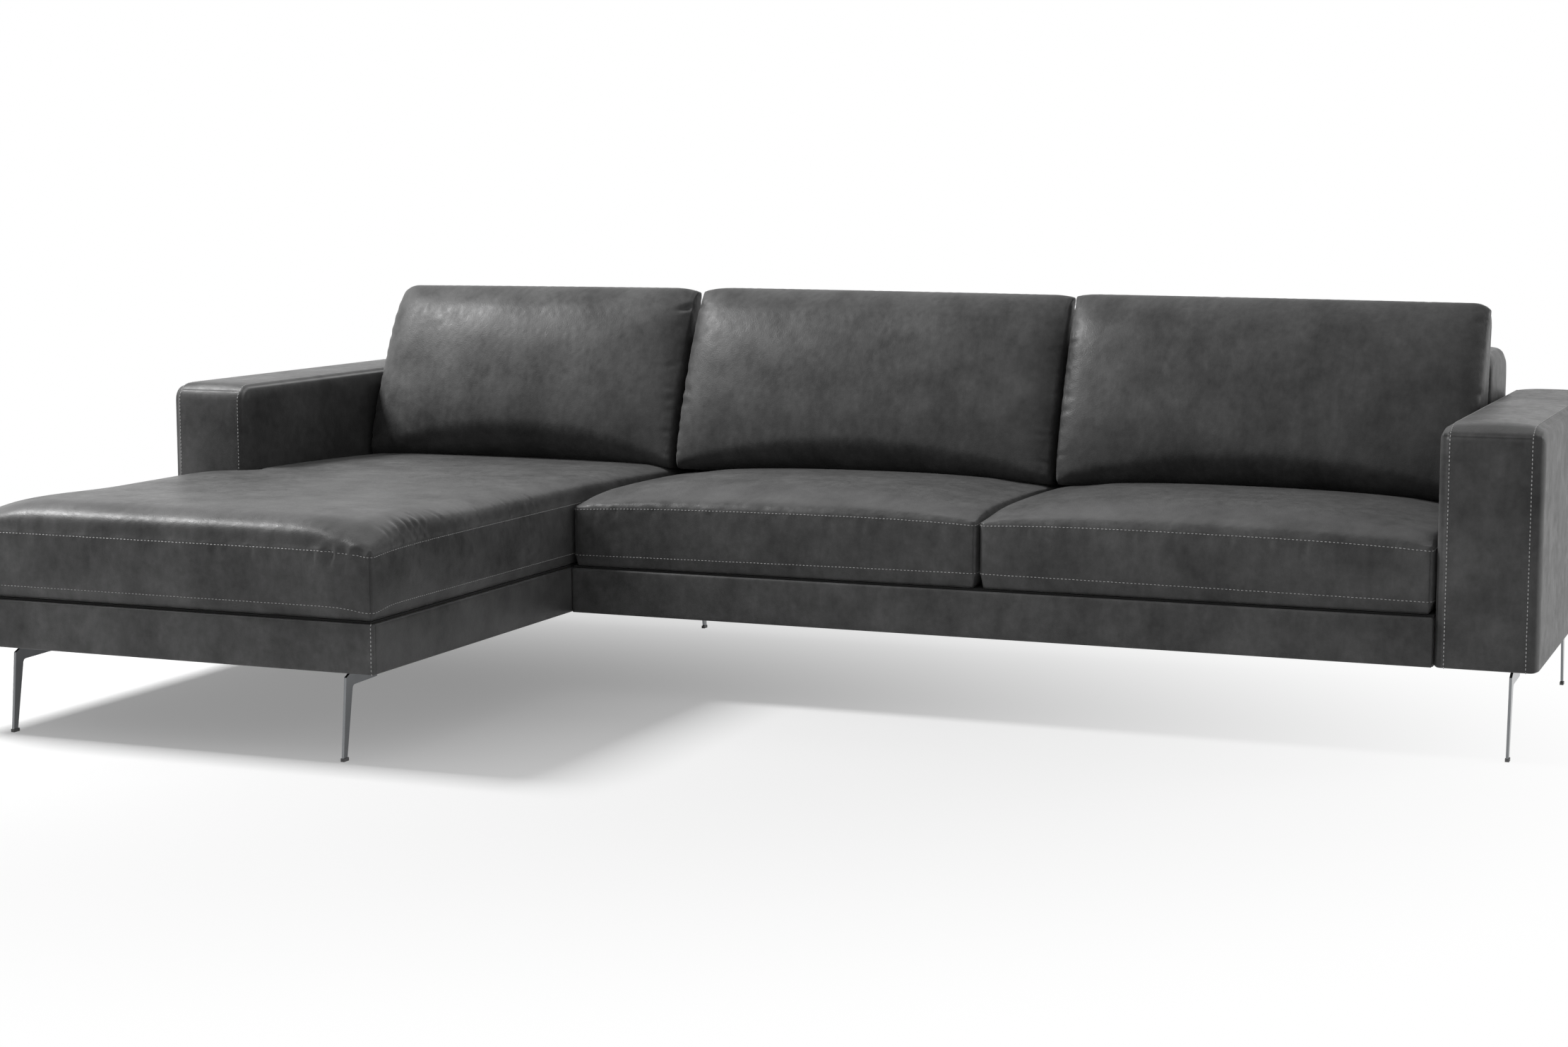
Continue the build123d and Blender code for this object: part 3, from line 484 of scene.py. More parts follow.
# roll: height of the edge roll. front: share, width and squareness of its quick rise, and the width
# of the slow one. fall: how much lower it gets further back. sides: widths of the rolls at the outer
# end, left, right and rear. crown: its height, crest: its place behind the front seam. bow: how far
# the seams bow up, evenness: how evenly. dip: of the lower seam. slack: reach of the loose left and
# right front corners. lifts: of the left and right end.
LEFT_FORM = {"roll": 0.016, "front": (0.25, 0.024, 2.0, 0.15), "fall": 0.0,
             "sides": (0.02, 0.045, 0.045, 0.045), "crown": 0.026, "crest": 0.20,
             "bow": 0.009, "evenness": 3, "dip": 0.0, "slack": (0.03, 0.03),
             "lifts": (0.0, 0.007), "puff": 0.0, "corner_seam": 0.0}
RIGHT_FORM = {**LEFT_FORM, "lifts": (0.007, 0.001), "puff": 0.009}
CHAISE_FORM = {"roll": 0.050, "front": (0.97, 0.082, 2.2, 0.30), "fall": 0.20,
               "sides": (0.21, 0.03, 0.065, 0.045), "crown": 0.004, "crest": 0.62,
               "bow": 0.009, "evenness": 8, "dip": 0.008, "slack": (0.09, 0.09),
               "lifts": (0.0, 0.0), "puff": 0.0, "corner_seam": 0.003}
cushions = {}
for name, form in (("left_seat_cushion", LEFT_FORM), ("right_seat_cushion", RIGHT_FORM)):
    low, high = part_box(name + "_cover")
    cushions[name] = seat_cushion(name, (low.x + EDGE, high.x - EDGE),
                                  (low.y + EDGE, high.y - EDGE), form)
low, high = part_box("chaise_cushion_cover")
arm_low, arm_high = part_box("left_arm_cover")
cushions["chaise_cushion"] = seat_cushion(
    "chaise_cushion", (low.x + EDGE, arm_high.x + EDGE, high.x - EDGE),
    (low.y + EDGE, arm_low.y - EDGE, high.y - EDGE), CHAISE_FORM)
for name, piece in cushions.items():
    print(name, len(piece.data.vertices), "vertices")

# %% [markdown]
# ## Back cushions
# A back cushion is one long strip that goes round the front, top, back and bottom, and two side
# panels. So only the edges of the side panels are seams, and the other edges are rounded. From the
# side it is a wedge: thick at its foot, where it props the sitter's back, and thin at the top. It is
# built as an upright box with rounded corners, from its back face at y = 0, then thinned towards the
# top, crowned in front and leaned on the back.

# %% Shape the back cushions
LEAN = math.radians(6)
LEAN_START = 0.380  # height at which the backs start to lean
BACK_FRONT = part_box("chaise_back_cover")[0].y
BACK_FOOT, BACK_TALL = 0.149, 0.406  # thickness at the foot, and height along the lean
TOP_THICK, TOP_MORE = 0.030, 0.032  # thickness at the top: at the ends, and more in the middle
CROWN, CROWN_MORE = 0.015, 0.036  # swell of the front: at the ends, and more in the middle
FRONT_TOP, REAR_TOP, REAR_BOTTOM, FRONT_BOTTOM = 0.060, 0.045, 0.012, 0.020  # radii of the edges
SIDE_INSET = 0.009  # from the side of the solid in to the side panels' seams
SIDE_BULGE, LEAN_OUT = 0.0066, 0.0082  # how far the side panels swell, and the top ends lean out
END_DRAW, DRAW_WIDTH = 0.012, 0.04  # how far the ends are drawn in, and over what width
SEAT_GAP = 0.0012  # left free above the seat


def corner_drop(near, width, depth):
    """How far a rounded top corner falls below the top edge, this near to its side."""
    return depth * (1 - roll(near, width))


def back_cushion(name, x0, x1, seat, corners, sags, taper, belly):
    """A back cushion before it settles, leaning on the back and standing on the seat. Each top corner
    has a width and a depth, each end of the top sags a little, the left end tapers towards the top,
    and the middle of the lower front edge rolls under by the belly."""
    beside = (0.006, 0.012, 0.02)
    piece = sewn_box(name, [rows(x0 + SIDE_INSET, x1 - SIDE_INSET)],
                     [rows(-BACK_FOOT, 0.0, beside=beside)], rows(0.0, BACK_TALL, 0.0075, beside))
    strip = ("front", "top", "rear", "bottom")
    points = points_of(piece)
    on, seam = panels_of(piece, joined=strip)
    side_far = np.where(on["left"], seam_distance(points, on["left"], seam)[0],
                        seam_distance(points, on["right"], seam)[0])
    x, y, z = points.T
    near = np.minimum(x - x0, x1 - x)
    inward = np.minimum(1, 2 * near / (x1 - x0))
    middle = 0.62 * (1 - (1 - inward) ** 3) + 0.38 * roll(near, 0.075)
    under = FRONT_BOTTOM + belly * arch(inward, 1.0)
    y, z = round_edges(y, z, -BACK_FOOT, 0, 0, BACK_TALL, (FRONT_TOP, REAR_TOP, REAR_BOTTOM, under))
    # the ends are drawn in, the top corners are rounded, and the top sags towards its ends
    draw = END_DRAW * (1 - roll(near, DRAW_WIDTH))
    drop = corner_drop(x - x0, *corners[0]) + corner_drop(x1 - x, *corners[1])
    drop = drop + sags[0] + (sags[1] - sags[0]) * (x - x0) / (x1 - x0)
    z = z * (1 - (drop + 0.3 * draw) / BACK_TALL)
    # the wedge, and the crown of its front
    thick = BACK_FOOT + (TOP_THICK + TOP_MORE * middle - BACK_FOOT) * z / BACK_TALL
    crown = (CROWN + CROWN_MORE * middle) * (1 - np.abs(2 * z / BACK_TALL - 1) ** 2.7)
    y = y / BACK_FOOT * (thick + crown - draw) - 0.3 * draw
    # the side panels swell, and at the top the ends lean out, so neighbours touch there
    bulge = SIDE_BULGE * roll(side_far, 0.04) * (on["left"] | on["right"])
    lean_out = LEAN_OUT * smooth(z, 0.86 * BACK_TALL, BACK_TALL) * (1 - roll(near - SIDE_INSET, 0.06))
    x = x + np.maximum(bulge, lean_out) * np.sign(2 * x - x0 - x1)
    x = x + taper * z / BACK_TALL * (1 - (x - x0) / (x1 - x0))
    y, z = y - LEATHER_GAP, z + seat
    sin, cos = math.sin(LEAN), math.cos(LEAN)
    leaned = [x, y * cos + z * sin + BACK_FRONT, -y * sin + z * cos + LEAN_START]
    move_points(piece, np.stack(leaned, axis=1))
    hold(piece, seam, on["rear"] | on["bottom"])
    return piece


BACK_FORMS = {
    "left_back_cushion": {"corners": ((0.040, 0.034), (0.060, 0.015)), "sags": (0.008, 0.004),
                          "taper": 0.016, "belly": 0.086},
    "middle_back_cushion": {"corners": ((0.080, 0.014), (0.045, 0.007)), "sags": (0.002, 0.006),
                            "taper": 0.007, "belly": 0.068},
    "right_back_cushion": {"corners": ((0.055, 0.007), (0.036, 0.034)), "sags": (0.003, 0.009),
                           "taper": 0.0, "belly": 0.068}}
for name, form in BACK_FORMS.items():
    low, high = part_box(name + "_cover")
    seat = (low.z - LEAN_START) / math.cos(LEAN) + SEAT_GAP
    cushions[name] = back_cushion(name, low.x + LEATHER_GAP, high.x - LEATHER_GAP, seat, **form)
    print(name, len(cushions[name].data.vertices), "vertices")

# %% [markdown]
# ## Let the cushions settle
# So far the panels are too smooth. Real leather has a little more length than the shape below it,
# above all beside the seams, where the needle gathers it, and the filling pushes it into soft waves.
# Cloth simulation gives that: the seams and the faces that rest on something are held, air pressure
# stands for the filling, and the leather beside the seams is made a few percent too long. Gravity is
# off. The movement is capped, so each cushion keeps the form above.

# %% Simulate the leather
FRAMES = 20
CAP = 0.012
LEATHER_CLOTH = {
    "quality": 5, "mass": 0.4, "tension_stiffness": 20, "compression_stiffness": 20,
    "shear_stiffness": 8, "bending_stiffness": 1.2, "use_pressure": True, "uniform_pressure_force": 3,
    "vertex_group_mass": "held", "vertex_group_shrink": "gathered", "shrink_min": -0.006,
    "shrink_max": -0.06}


def add_cloth(piece):
    """Gives a piece a leather-like cloth that is held at the group of that name."""
    select_only(piece)
    bpy.ops.object.modifier_add(type="CLOTH")
    cloth = piece.modifiers[-1]
    for setting, value in LEATHER_CLOTH.items():
        setattr(cloth.settings, setting, value)
    cloth.settings.effector_weights.gravity = 0
    cloth.collision_settings.use_collision = False
    cloth.point_cache.frame_start, cloth.point_cache.frame_end = 1, FRAMES
    return cloth.name


def name_gather(piece, width=0.045):
    """Weights the leather beside the seams, from 1 at a seam to 0 at the given width."""
    row = piece.vertex_groups["seam"].index
    tree = tree_of([v.co for v in piece.data.vertices if any(g.group == row for g in v.groups)])
    group = piece.vertex_groups.new(name="gathered")
    for vertex in piece.data.vertices:
        weight = 1 - tree.find(vertex.co)[2] / width
        if weight > 0:
            group.add([vertex.index], weight, "REPLACE")


start = {name: points_of(piece) for name, piece in cushions.items()}
for piece in cushions.values():
    name_gather(piece)
clothed = {name: add_cloth(piece) for name, piece in cushions.items()}
for step in range(1, FRAMES + 1):
    bpy.context.scene.frame_set(step)
for name, piece in cushions.items():
    bpy.context.view_layer.objects.active = piece
    bpy.ops.object.modifier_apply(modifier=clothed[name])
    moved = points_of(piece) - start[name]
    length = np.linalg.norm(moved, axis=1)
    capped = CAP * np.tanh(length / CAP)
    points = start[name] + moved * (capped / np.maximum(length, 1e-9))[:, None]
    low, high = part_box(name + "_cover")
    points[:, 0] = np.clip(points[:, 0], low.x + LEATHER_GAP / 2, high.x - LEATHER_GAP / 2)
    move_points(piece, points)
    print(name, "moved up to", round(1000 * length.max(), 1), "mm, mean",
          round(1000 * length.mean(), 2), "mm")
bpy.context.scene.frame_set(1)

# %% [markdown]
# ## Finish the cushions
# A row of topstitching runs along each seam of the boxing, 6.5 mm from it. The rows of vertices there
# were named at the start, so each row is copied off as a line now, before the mesh is subdivided. The
# stitches are laid along these lines further down.

# %% Close and finish the cushions
def stitch_line(piece, row, body):
    """Copies a named row of vertices off a piece as a line of its own."""
    select_only(piece)
    piece.vertex_groups.active_index = piece.vertex_groups[row].index
    bpy.ops.object.mode_set(mode="EDIT")
    bpy.ops.mesh.select_mode(type="VERT")
    bpy.ops.mesh.select_all(action="DESELECT")
    bpy.ops.object.vertex_group_select()
    bpy.ops.mesh.duplicate()
    bpy.ops.mesh.separate(type="SELECTED")
    bpy.ops.object.mode_set(mode="OBJECT")
    line = [o for o in bpy.context.selected_objects if o != piece][0]
    line.name = f"{piece.name}_{row}"
    return line, piece, body


def close_bottom(piece):
    """Fills the open bottom of a seat cushion with one flat face."""
    bpy.ops.object.mode_set(mode="EDIT")
    bpy.ops.mesh.select_mode(type="EDGE")
    bpy.ops.mesh.select_all(action="DESELECT")
    bpy.ops.mesh.select_non_manifold()
    bpy.ops.mesh.edge_face_add()
    bpy.ops.object.mode_set(mode="OBJECT")


stitch_lines = []
for name, piece in cushions.items():
    boxed = "back" not in name
    if boxed:
        stitch_lines += [stitch_line(piece, row, name) for row in ("upper_stitch", "lower_stitch")]
    finish_mesh(piece)
    if boxed:
        close_bottom(piece)
    piece.data.materials.append(leather)
    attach(piece, name)
    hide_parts(name + "_cover", name + "_core")
    print(name, len(piece.data.polygons), "faces")

# %% [markdown]
# ## Folds beside the seams
# Where the needle gathers the leather, short folds run out from the seam, and at a corner that is
# pulled tight they fan out. Each fold is a narrow valley with a low ridge on both sides, deepest at
# the seam and gone after a few centimetres. The simulation could make them too, but it would need a
# far finer mesh. So they are pressed in last, into the finished mesh, at places drawn from a fixed
# seed, so that they come out the same each time.

# %% Press the folds
def folds(piece, facing, start, end, inward, count, lengths, depth, width, seed):
    """Presses folds into the faces that look one way. They start along a seam line from start to end,
    and run the inward way with a little slant."""
    draw = np.random.default_rng(seed)
    points = points_of(piece)
    normals = np.empty(points.size)
    piece.data.vertex_normals.foreach_get("vector", normals)
    normals = normals.reshape(-1, 3)
    facing, start, end, inward = (np.array(v, float) for v in (facing, start, end, inward))
    flat = 1 - np.abs(facing)
    looks = smooth(normals @ facing, 0.05, 0.45)
    line = (end - start) / np.linalg.norm(end - start)
    pressed = np.zeros(len(points))
    for index in range(count):
        place = start + (end - start) * (index + draw.uniform(0.05, 0.95)) / count
        run = inward / np.linalg.norm(inward) + line * draw.normal(0, 0.22)
        run_size = np.linalg.norm(run)
        length = draw.uniform(*lengths)
        wide, deep = width * draw.uniform(0.7, 1.4), depth * draw.uniform(0.3, 1)
        away = (points - place) * flat
        along = away @ run / run_size
        off = np.linalg.norm(away - np.outer(np.clip(along, 0, length), run / run_size), axis=1)
        valley = np.exp(-(off / wide) ** 2) - 0.45 * np.exp(-((off - 2 * wide) / wide) ** 2)
        pressed += deep * valley * (1 - smooth(along, 0.1 * length, length))
    move_points(piece, points - normals * (looks * pressed)[:, None])


FRONT, TOP, RIGHT = SIDES["front"], SIDES["top"], SIDES["right"]
upper = SEAM_HIGH - 0.004  # folds of the boxing start just below its seam
for name in ("left_seat_cushion", "right_seat_cushion", "chaise_cushion"):
    low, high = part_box(name + "_cover")
    x0, x1, y0 = low.x + EDGE, high.x - EDGE, low.y + EDGE
    # gathers on the top along the front seam, and faint pleats down the front of the boxing
    folds(cushions[name], TOP, (x0, y0, 0), (x1, y0, 0), (0, 1, 0),
          count=13, lengths=(0.02, 0.07), depth=0.0004, width=0.009, seed=3)
    folds(cushions[name], FRONT, (x0, 0, upper), (x1, 0, upper), (0, 0, -1),
          count=13, lengths=(0.02, 0.07), depth=0.0022, width=0.008, seed=5)
# the chaise's right side: folds over the long seam, and a fan at the drawn-in front corner
chaise = cushions["chaise_cushion"]
folds(chaise, TOP, (x1, y0 + 0.05, 0), (x1, y0 + 0.70, 0), (-1, 0, 0),
      count=16, lengths=(0.02, 0.06), depth=0.0022, width=0.005, seed=7)
folds(chaise, TOP, (x1, y0 + 0.11, 0), (x1, y0 + 0.21, 0), (-1, 0.3, 0),
      count=4, lengths=(0.03, 0.05), depth=0.0040, width=0.005, seed=8)
folds(chaise, RIGHT, (0, y0 + 0.03, upper), (0, y0 + 0.70, upper), (0, 0, -1),
      count=12, lengths=(0.02, 0.07), depth=0.0012, width=0.006, seed=9)
folds(chaise, FRONT, (x1 - 0.12, 0, upper), (x1 - 0.012, 0, upper), (-0.5, 0, -1),
      count=6, lengths=(0.03, 0.05), depth=0.0060, width=0.0065, seed=11)
for seed, name in enumerate(("left_back_cushion", "middle_back_cushion", "right_back_cushion")):
    low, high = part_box(name + "_cover")
    x0, x1 = low.x + SIDE_INSET, high.x - SIDE_INSET
    for x, way in ((x0, 1), (x1, -1)):
        folds(cushions[name], FRONT, (x, 0, low.z + 0.03), (x, 0, high.z - 0.03), (way, 0, 0),
              count=9, lengths=(0.01, 0.045), depth=0.0017, width=0.006, seed=20 + 2 * seed + way)
# a pinch at the left back cushion's inner top corner
low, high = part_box("left_back_cushion_cover")
folds(cushions["left_back_cushion"], FRONT, (high.x - 0.012, 0, high.z - 0.055),
      (high.x - 0.012, 0, high.z - 0.035), (-1, 0, -0.2),
      count=2, lengths=(0.025, 0.04), depth=0.0050, width=0.005, seed=31)
print("pressed folds into", len(cushions), "cushions")

# %% [markdown]
# ## Arms
# Each arm is a straight box. A strip goes up its front, over the top and down the rear, with a seam
# across at the top of the front. By the chaise the padding is full and the front rounds over softly. On
# the far arm the top falls a little to a crease along that seam. Two side panels are padded, so they
# stand proud of the strip like pillows along the seams. The sides are pulled straight down under the
# frame, without a seam there.

# %% Shape the arms
def upholster(piece, node):
    """Finishes a fixed padded piece in leather, in place of its CAD node."""
    finish_mesh(piece)
    piece.data.materials.append(leather)
    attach(piece, "sofa_frame")
    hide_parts(node)
    return piece


ARM_SWELL, ARM_ROLL = 0.014, 0.030  # how far the side panels swell, and over what width
STRIP_ROLL = 0.06  # over what width the strip between them swells
FRONT_SWELL, TOP_SWELL = 0.003, 0.007
FALL_LENGTH = 0.05  # of the top towards the front
CREASE_DROP, CREASE_WIDTH = 0.006, 0.0025  # of the crease below the top
GROOVE = 0.003  # how deep the long seams lie
END_INSET, TOP_INSET = 0.002, 0.003  # of an arm's box, which the padding fills out
UNDER_LAP = 0.0004  # how far a cover laps under its frame
LOWER_RADIUS = 0.004  # of the lower edges


def arm(name, node, radius, fall, crease):
    """A padded arm with a strip round its front, top and rear. The front edge has a radius, the top
    falls towards it, and the seam under it is creased."""
    low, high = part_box(node)
    x0, x1 = low.x + ARM_SWELL, high.x - ARM_SWELL
    y0, y1 = low.y + END_INSET, high.y - END_INSET
    z0, z1 = low.z - UNDER_LAP, high.z - TOP_INSET
    beside = (0.003, 0.006, 0.009, 0.013, 0.018, 0.023, 0.028, 0.034)
    piece = sewn_box(name, [rows(x0, x1, 0.012)], [rows(y0, y1, 0.014, beside)],
                     rows(z0, z1, 0.012, beside))
    strip = ("front", "top", "rear")
    points = points_of(piece)
    on, _ = panels_of(piece)
    x, y, z = points.T
    on_strip = np.any([on[s] for s in strip], axis=0)
    name_row(piece, "left_stitch", on_strip & (abs(x - x0 - BESIDE_SEAM) < 1e-5))
    name_row(piece, "right_stitch", on_strip & (abs(x - x1 + BESIDE_SEAM) < 1e-5))
    strip_far = np.minimum(x - x0, x1 - x)
    radii = (radius, radius, LOWER_RADIUS, LOWER_RADIUS)
    rounded_y, rounded_z = round_edges(y, z, y0, y1, z0, z1, radii)
    swollen = np.stack([x, rounded_y, rounded_z], axis=1)
    for side in ("left", "right"):
        far, _ = seam_distance(points, on[side], on[side] & on_strip)
        swollen[:, 0] += ARM_SWELL * roll(far, ARM_ROLL) * SIDES[side][0]
    # the strip swells between its seams, most on the top, which falls towards the front
    strip_roll = roll(strip_far, STRIP_ROLL)
    swollen[:, 1] -= FRONT_SWELL * strip_roll * on["front"] * ~on["top"]
    swollen[:, 2] += TOP_SWELL * strip_roll * on["top"] * smooth(y, y0, y0 + FALL_LENGTH)
    swollen[:, 2] -= fall * np.clip(1 - (y - y0) / FALL_LENGTH, 0, 1) ** 2 * smooth(z, z1 - 0.06, z1)
    from_crease = np.where(on["front"], z1 - CREASE_DROP - z, 1.0)
    swollen[:, 1] += crease * np.exp(-(from_crease / CREASE_WIDTH) ** 2)
    # the long seams lie in a narrow groove
    groove = on_strip & (on["left"] | on["right"])
    swollen[:, 1] += GROOVE * (groove & on["front"])
    swollen[:, 2] -= GROOVE * (groove & on["top"])
    move_points(piece, swollen)
    for row in ("left_stitch", "right_stitch"):
        stitch_lines.append(stitch_line(piece, row, "sofa_frame"))
    return upholster(piece, node)


arms = {"left": arm("left_arm", "left_arm_cover", radius=0.032, fall=0.0, crease=0.0),
        "right": arm("right_arm", "right_arm_cover", radius=0.007, fall=0.012, crease=0.004)}
print("arms", [len(a.data.polygons) for a in arms.values()])

# %% [markdown]
# ## Backs and plinths
# Behind the loose cushions stand the upholstered backs, which lean a little and have rounded top
# edges. Under the cushions a low padded plinth closes the base. Both are tight covers over board,
# so they swell only a little.

# %% Shape the backs
BACK_SWELL, BACK_END_SWELL = 0.003, 0.0035  # of the rear and top, and of the end panels
END_CORNER = (0.024, 0.018)  # width and depth of the rounded outer top corner
BACK_RADII = (0.027, 0.034, LOWER_RADIUS, LOWER_RADIUS)
SIDE_IN, FRONT_IN, REAR_IN = 0.004, 0.001, 0.003  # insets of its box: ends, front, and rear and top


def back(name, node, outer_end):
    """A module's back: a leaning slab with rounded top edges and slightly padded faces. Its top is
    rounded off at the outer end too."""
    low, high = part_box(node)
    x0, x1 = low.x + SIDE_IN, high.x - SIDE_IN
    y0, y1, z0, z1 = low.y + FRONT_IN, high.y - REAR_IN, low.z, high.z - REAR_IN
    piece = sewn_box(name, [rows(x0, x1, 0.018)], [rows(y0, y1, 0.018)], rows(z0, z1, 0.018))
    strip = ("front", "top", "rear")
    points = points_of(piece)
    on, seam = panels_of(piece, joined=strip)
    x, y, z = points.T
    far = {side: seam_distance(points, on[side], seam)[0] for side in ("left", "right")}
    strip_far = np.minimum(x - x0, x1 - x)
    y, z = round_edges(y, z, y0, y1, z0, z1, BACK_RADII)
    lean = math.tan(LEAN) * np.maximum(z - LEAN_START, 0)
    y = y + lean * (y1 - y) / (y1 - y0)
    y = y + on["rear"] * BACK_SWELL * roll(strip_far, 0.08)
    z = z + on["top"] * BACK_SWELL * roll(strip_far, 0.08)
    from_end = x - x0 if outer_end == "left" else x1 - x
    z = z - corner_drop(from_end, *END_CORNER) * (z - z0) / (z1 - z0)
    for side in ("left", "right"):
        x = x + np.where(on[side] & ~seam, BACK_END_SWELL * roll(far[side], 0.03) * SIDES[side][0], 0)
    move_points(piece, np.stack([x, y, z], axis=1))
    return upholster(piece, node)


backs = {module: back(module + "_back", module + "_back_cover", outer_end)
         for module, outer_end in (("chaise", "left"), ("seat", "right"))}
print("backs", [len(b.data.polygons) for b in backs.values()])

# %% [markdown]
# A plinth has a thin wall along each open side. One bent board could go round the corners, but
# straight walls that are joined keep the corners crisp, as leather pulled over board is. The chaise's
# cover turns its right front corner with a seam, so that corner gets a row of stitches too.

# %% Shape the plinths
PLINTH_SEAM = 0.004  # from the corner to its row of stitches
PLINTH_SWELL = 0.0018
WALL = 0.009
WALL_INSET = 0.002  # of the chaise's walls and both fronts, which the padding fills
SEAT_INSET = 0.001  # of the seat plinth's ends
SIDE_STEP = 0.0004  # of a side wall behind the end of the front one


def plinth_wall(name, x0, x1, y0, y1, z0, z1, corner_seam=False):
    """One wall of a plinth, as a thin padded board, with a sewn seam at its right end or without."""
    beside = (0.002, PLINTH_SEAM)
    piece = sewn_box(name, [rows(x0, x1, 0.016, beside)], [rows(y0, y1, 0.016, beside)],
                     rows(z0, z1, 0.012, (0.002, 0.005)))
    points = points_of(piece)
    on, seam = panels_of(piece)
    swollen = points.copy()
    for side in ("left", "right", "front", "top"):
        far, _ = seam_distance(points, on[side], seam)
        swollen += np.outer(PLINTH_SWELL * roll(far, 0.010) * (on[side] & ~seam), SIDES[side])
    move_points(piece, swollen)
    if corner_seam:
        name_row(piece, "corner_stitch", on["front"] & (abs(points[:, 0] - x1 + PLINTH_SEAM) < 1e-5))
        stitch_lines.append(stitch_line(piece, "corner_stitch", "sofa_frame"))
    finish_mesh(piece)
    return piece


def join(pieces):
    """Joins pieces into the first one."""
    bpy.ops.object.select_all(action="DESELECT")
    for piece in pieces:
        piece.select_set(True)
    bpy.context.view_layer.objects.active = pieces[0]
    bpy.ops.object.join()
    return pieces[0]


low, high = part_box("chaise_plinth_cover")
bottom, top = low.z - UNDER_LAP, high.z - WALL_INSET
behind = low.y + WALL
plinths = {"chaise": join([
    plinth_wall("chaise_plinth", low.x + WALL_INSET, high.x - WALL_INSET, low.y + WALL_INSET, behind,
                bottom, top, True),
    plinth_wall("chaise_plinth_right", high.x - WALL, high.x - WALL_INSET - SIDE_STEP, behind, high.y,
                bottom, top),
    plinth_wall("chaise_plinth_left", low.x + WALL_INSET + SIDE_STEP, low.x + WALL, behind,
                arm_low.y - 0.001, bottom, top),
])}
low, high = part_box("seat_plinth_cover")
behind = low.y + WALL
plinths["seat"] = join([
    plinth_wall("seat_plinth", low.x + SEAT_INSET, high.x - SEAT_INSET, low.y + WALL_INSET, behind,
                bottom, top),
    plinth_wall("seat_plinth_right", high.x - WALL, high.x - SEAT_INSET - SIDE_STEP, behind, high.y,
                bottom, top),
])
for module, piece in plinths.items():
    piece.data.materials.append(leather)
    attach(piece, "sofa_frame")
    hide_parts(module + "_plinth_cover")
    print(piece.name, len(piece.data.polygons), "faces")

# %% [markdown]
# ## Stitches
# The thread shows as short dashes, 5 mm long and 7.5 mm apart. One stitch is modelled as a stretched
# low-poly bead, since it is repeated thousands of times. An Array copies it to the length of a line,
# and a Curve modifier lays the row along it, so no stitch is placed by hand. Each line is first shrunk
# onto the finished leather.

# %% Sew
STITCH = (0.0024, 0.0009, 0.0007)  # half its length, width and height
STITCH_STEP = 0.0075
THREAD_LIFT = 0.0002  # above the leather


def sew(line, piece, body):
    """Lays a row of stitches along a line on a piece."""
    select_only(line)
    name = line.name
    bpy.ops.object.modifier_add(type="SHRINKWRAP")
    line.modifiers[-1].target = piece
    line.modifiers[-1].wrap_mode = "ABOVE_SURFACE"
    line.modifiers[-1].offset = THREAD_LIFT
    bpy.ops.object.modifier_apply(modifier=line.modifiers[-1].name)
    bpy.ops.object.convert(target="CURVE")
    line = bpy.context.object
    bpy.ops.object.select_all(action="DESELECT")
    bpy.ops.mesh.primitive_uv_sphere_add(segments=6, ring_count=4, radius=1.0, location=(0, 0, 0))
    stitch = bpy.context.object
    stitch.name = stitch.data.name = name + "es"
    bpy.ops.object.mode_set(mode="EDIT")
    bpy.ops.transform.rotate(value=math.pi / 2, orient_axis="Y", center_override=(0, 0, 0))
    bpy.ops.transform.resize(value=STITCH, center_override=(0, 0, 0))
    bpy.ops.object.mode_set(mode="OBJECT")
    bpy.ops.object.modifier_add(type="ARRAY")
    row = stitch.modifiers[-1]
    row.fit_type, row.curve = "FIT_CURVE", line
    row.use_relative_offset, row.use_constant_offset = False, True
    row.constant_offset_displace = (STITCH_STEP, 0, 0)
    bpy.ops.object.modifier_add(type="CURVE")
    stitch.modifiers[-1].object = line
    bpy.ops.object.modifier_apply(modifier=stitch.modifiers[0].name)
    bpy.ops.object.modifier_apply(modifier=stitch.modifiers[0].name)
    bpy.ops.object.shade_smooth()
    stitch.data.materials.append(thread)
    bpy.data.objects.remove(line)
    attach(stitch, body)
    return stitch


for line, piece, body in stitch_lines:
    stitch = sew(line, piece, body)
    print(stitch.name, len(stitch.data.polygons) // 24, "stitches")

# %% [markdown]
# ## Floor
# The sofa stands in a white studio. The floor takes the sofa's shadow, paled by a painted glow that
# is faintest near the chaise, and further away it is plain white, so no horizon line shows. Camera,
# glossy and transmitted rays see that glow, and the rays that light the sofa do not.

# %% Build the floor
def seen_directly(owner):
    """A socket that is 1 for rays that show a thing, and 0 for rays that carry its light elsewhere."""
    rays = add_node(owner, "ShaderNodeLightPath").outputs
    seen = add_node(owner, "ShaderNodeMath", {0: rays["Is Camera Ray"], 1: rays["Is Glossy Ray"]},
                    operation="MAXIMUM").outputs["Value"]
    return add_node(owner, "ShaderNodeMath", {0: seen, 1: rays["Is Transmission Ray"]},
                    operation="MAXIMUM").outputs["Value"]


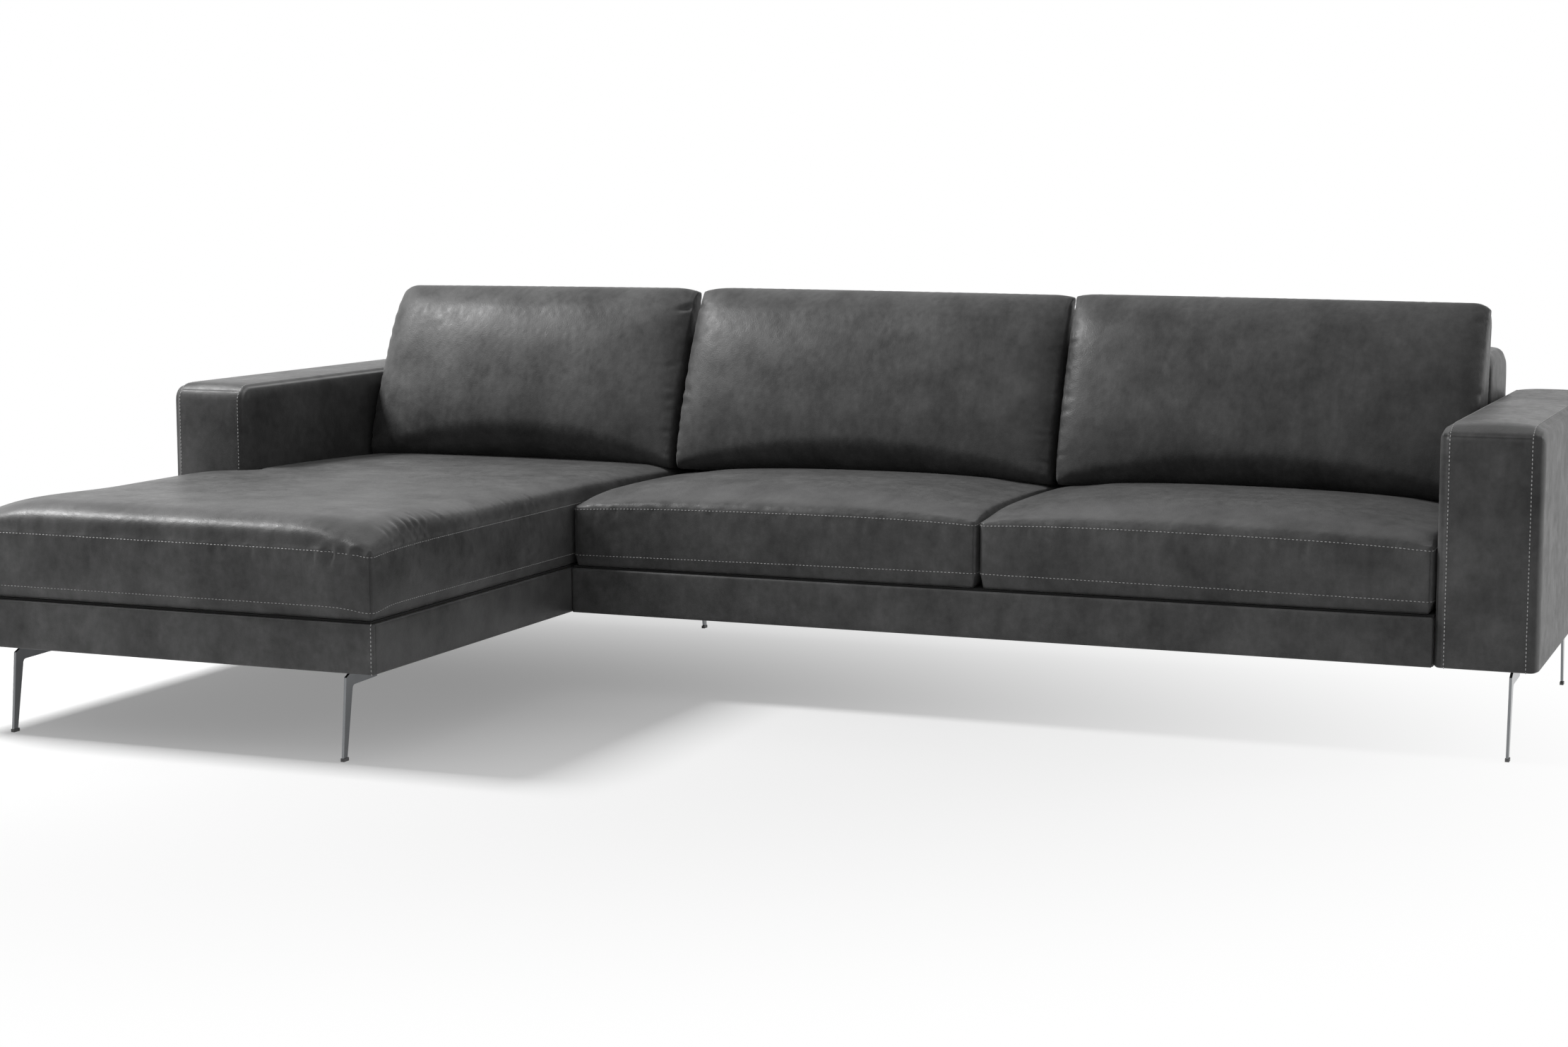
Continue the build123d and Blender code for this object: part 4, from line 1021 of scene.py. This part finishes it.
bpy.ops.object.select_all(action="DESELECT")
bpy.ops.mesh.primitive_plane_add(size=60, location=(0, 0, 0))
floor = bpy.context.object
floor.name = "studio_floor"
white, white_shader = new_material("white_studio_floor", Base_Color=srgb("#f4f4f4"), Roughness=1.0,
                                   Specular_IOR_Level=0.0)
place = add_node(white, "ShaderNodeTexCoord").outputs["Object"]
oval = add_node(white, "ShaderNodeMapping", {"Vector": place, "Scale": (0.75, 1.0, 1.0)})
away = add_node(white, "ShaderNodeVectorMath", {0: oval.outputs["Vector"], 1: (-0.75, -0.35, 0.0)},
                operation="DISTANCE")
# painted glow: camera, glossy and transmitted rays see plain white mixed in, 27 percent near the chaise and
# more further off, which pales the sofa's shadow
fade = add_node(white, "ShaderNodeMapRange",
                {"Value": away.outputs["Value"], "From Min": 0.3, "From Max": 2.2, "To Min": 0.27},
                interpolation_type="SMOOTHSTEP")
share = add_node(white, "ShaderNodeMath", {0: seen_directly(white), 1: fade.outputs["Result"]},
                 operation="MULTIPLY")
glow = add_node(white, "ShaderNodeEmission", {"Color": (1, 1, 1, 1), "Strength": 1.0})
blend = add_node(white, "ShaderNodeMixShader",
                 {"Fac": share.outputs["Value"], 1: white_shader.outputs["BSDF"],
                  2: glow.outputs["Emission"]})
surface = white.node_tree.nodes["Material Output"].inputs["Surface"]
white.node_tree.links.new(blend.outputs["Shader"], surface)
floor.data.materials.append(white)
floor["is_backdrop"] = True
print("floor", floor.name)

# %% [markdown]
# ## Light
# The room itself gives a dim, even light, a little more from the front than from behind. A softbox on
# the left draws the highlights along the rolled edges, a faint one behind lights the tops, and a small
# one at the rear right picks out the far arm.

# %% Light the room
world = bpy.data.worlds.new("white_studio")
bpy.context.scene.world = world
world.use_nodes = True
way = add_node(world, "ShaderNodeTexCoord").outputs["Generated"]
part = add_node(world, "ShaderNodeSeparateXYZ", {"Vector": way})
room = add_node(world, "ShaderNodeMapRange",
                {"Value": part.outputs["Y"], "From Min": -0.9, "From Max": 0.7,
                 "To Min": 0.31, "To Max": 0.20})
strength = add_node(world, "ShaderNodeMix",
                    {"Factor": seen_directly(world), "A": room.outputs["Result"], "B": 1.0},
                    data_type="FLOAT")
background = world.node_tree.nodes["Background"]
background.inputs["Color"].default_value = (1, 1, 1, 1)
world.node_tree.links.new(strength.outputs["Result"], background.inputs["Strength"])


def soft_light(name, place, target, size_x, size_y, watts):
    """A rectangular soft light that faces a point."""
    bpy.ops.object.light_add(type="AREA", location=place)
    lamp = bpy.context.object
    lamp.name = name
    lamp.data.shape = "RECTANGLE"
    lamp.data.size, lamp.data.size_y = size_x, size_y
    lamp.data.energy = watts
    lamp.rotation_euler = (Vector(target) - Vector(place)).to_track_quat("-Z", "Y").to_euler()
    return lamp


soft_light("rear_overhead_softbox", (-0.9, 2.0, 2.9), (-0.9, -0.1, 0.4), size_x=2.2, size_y=1.2, watts=5)
soft_light("left_softbox", (-3.4, -0.5, 3.5), (-0.6, -0.1, 0.45), size_x=1.1, size_y=1.1, watts=212)
soft_light("rear_right_softbox", (3.6, 1.8, 1.9), (1.4, 0.4, 0.5), size_x=1.2, size_y=1.2, watts=18)

# %% [markdown]
# ## Camera
# The camera stands at the right, about 1 m above the floor, and looks left and a little down.

# %% Set the camera
bpy.ops.object.camera_add(location=(2.0199, -5.0738, 1.0431),
                          rotation=(math.radians(90 - 7.097), 0, math.radians(22.072)))
camera = bpy.context.object
camera.data.sensor_width = 36.0
camera.data.lens = 63.85
bpy.context.scene.camera = camera
bpy.context.scene.view_settings.view_transform = "Standard"
print("camera at", [round(v, 3) for v in camera.location])

# %% [markdown]
# ## Sizes
# The leather has to keep to the space of the CAD model, or the sofa would not fit where its model
# does. So the box of all that shows is measured last and printed.

# %% Measure the box of all that shows
low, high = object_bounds()
print("visual box", [round(v, 3) for v in (*low, *high)])
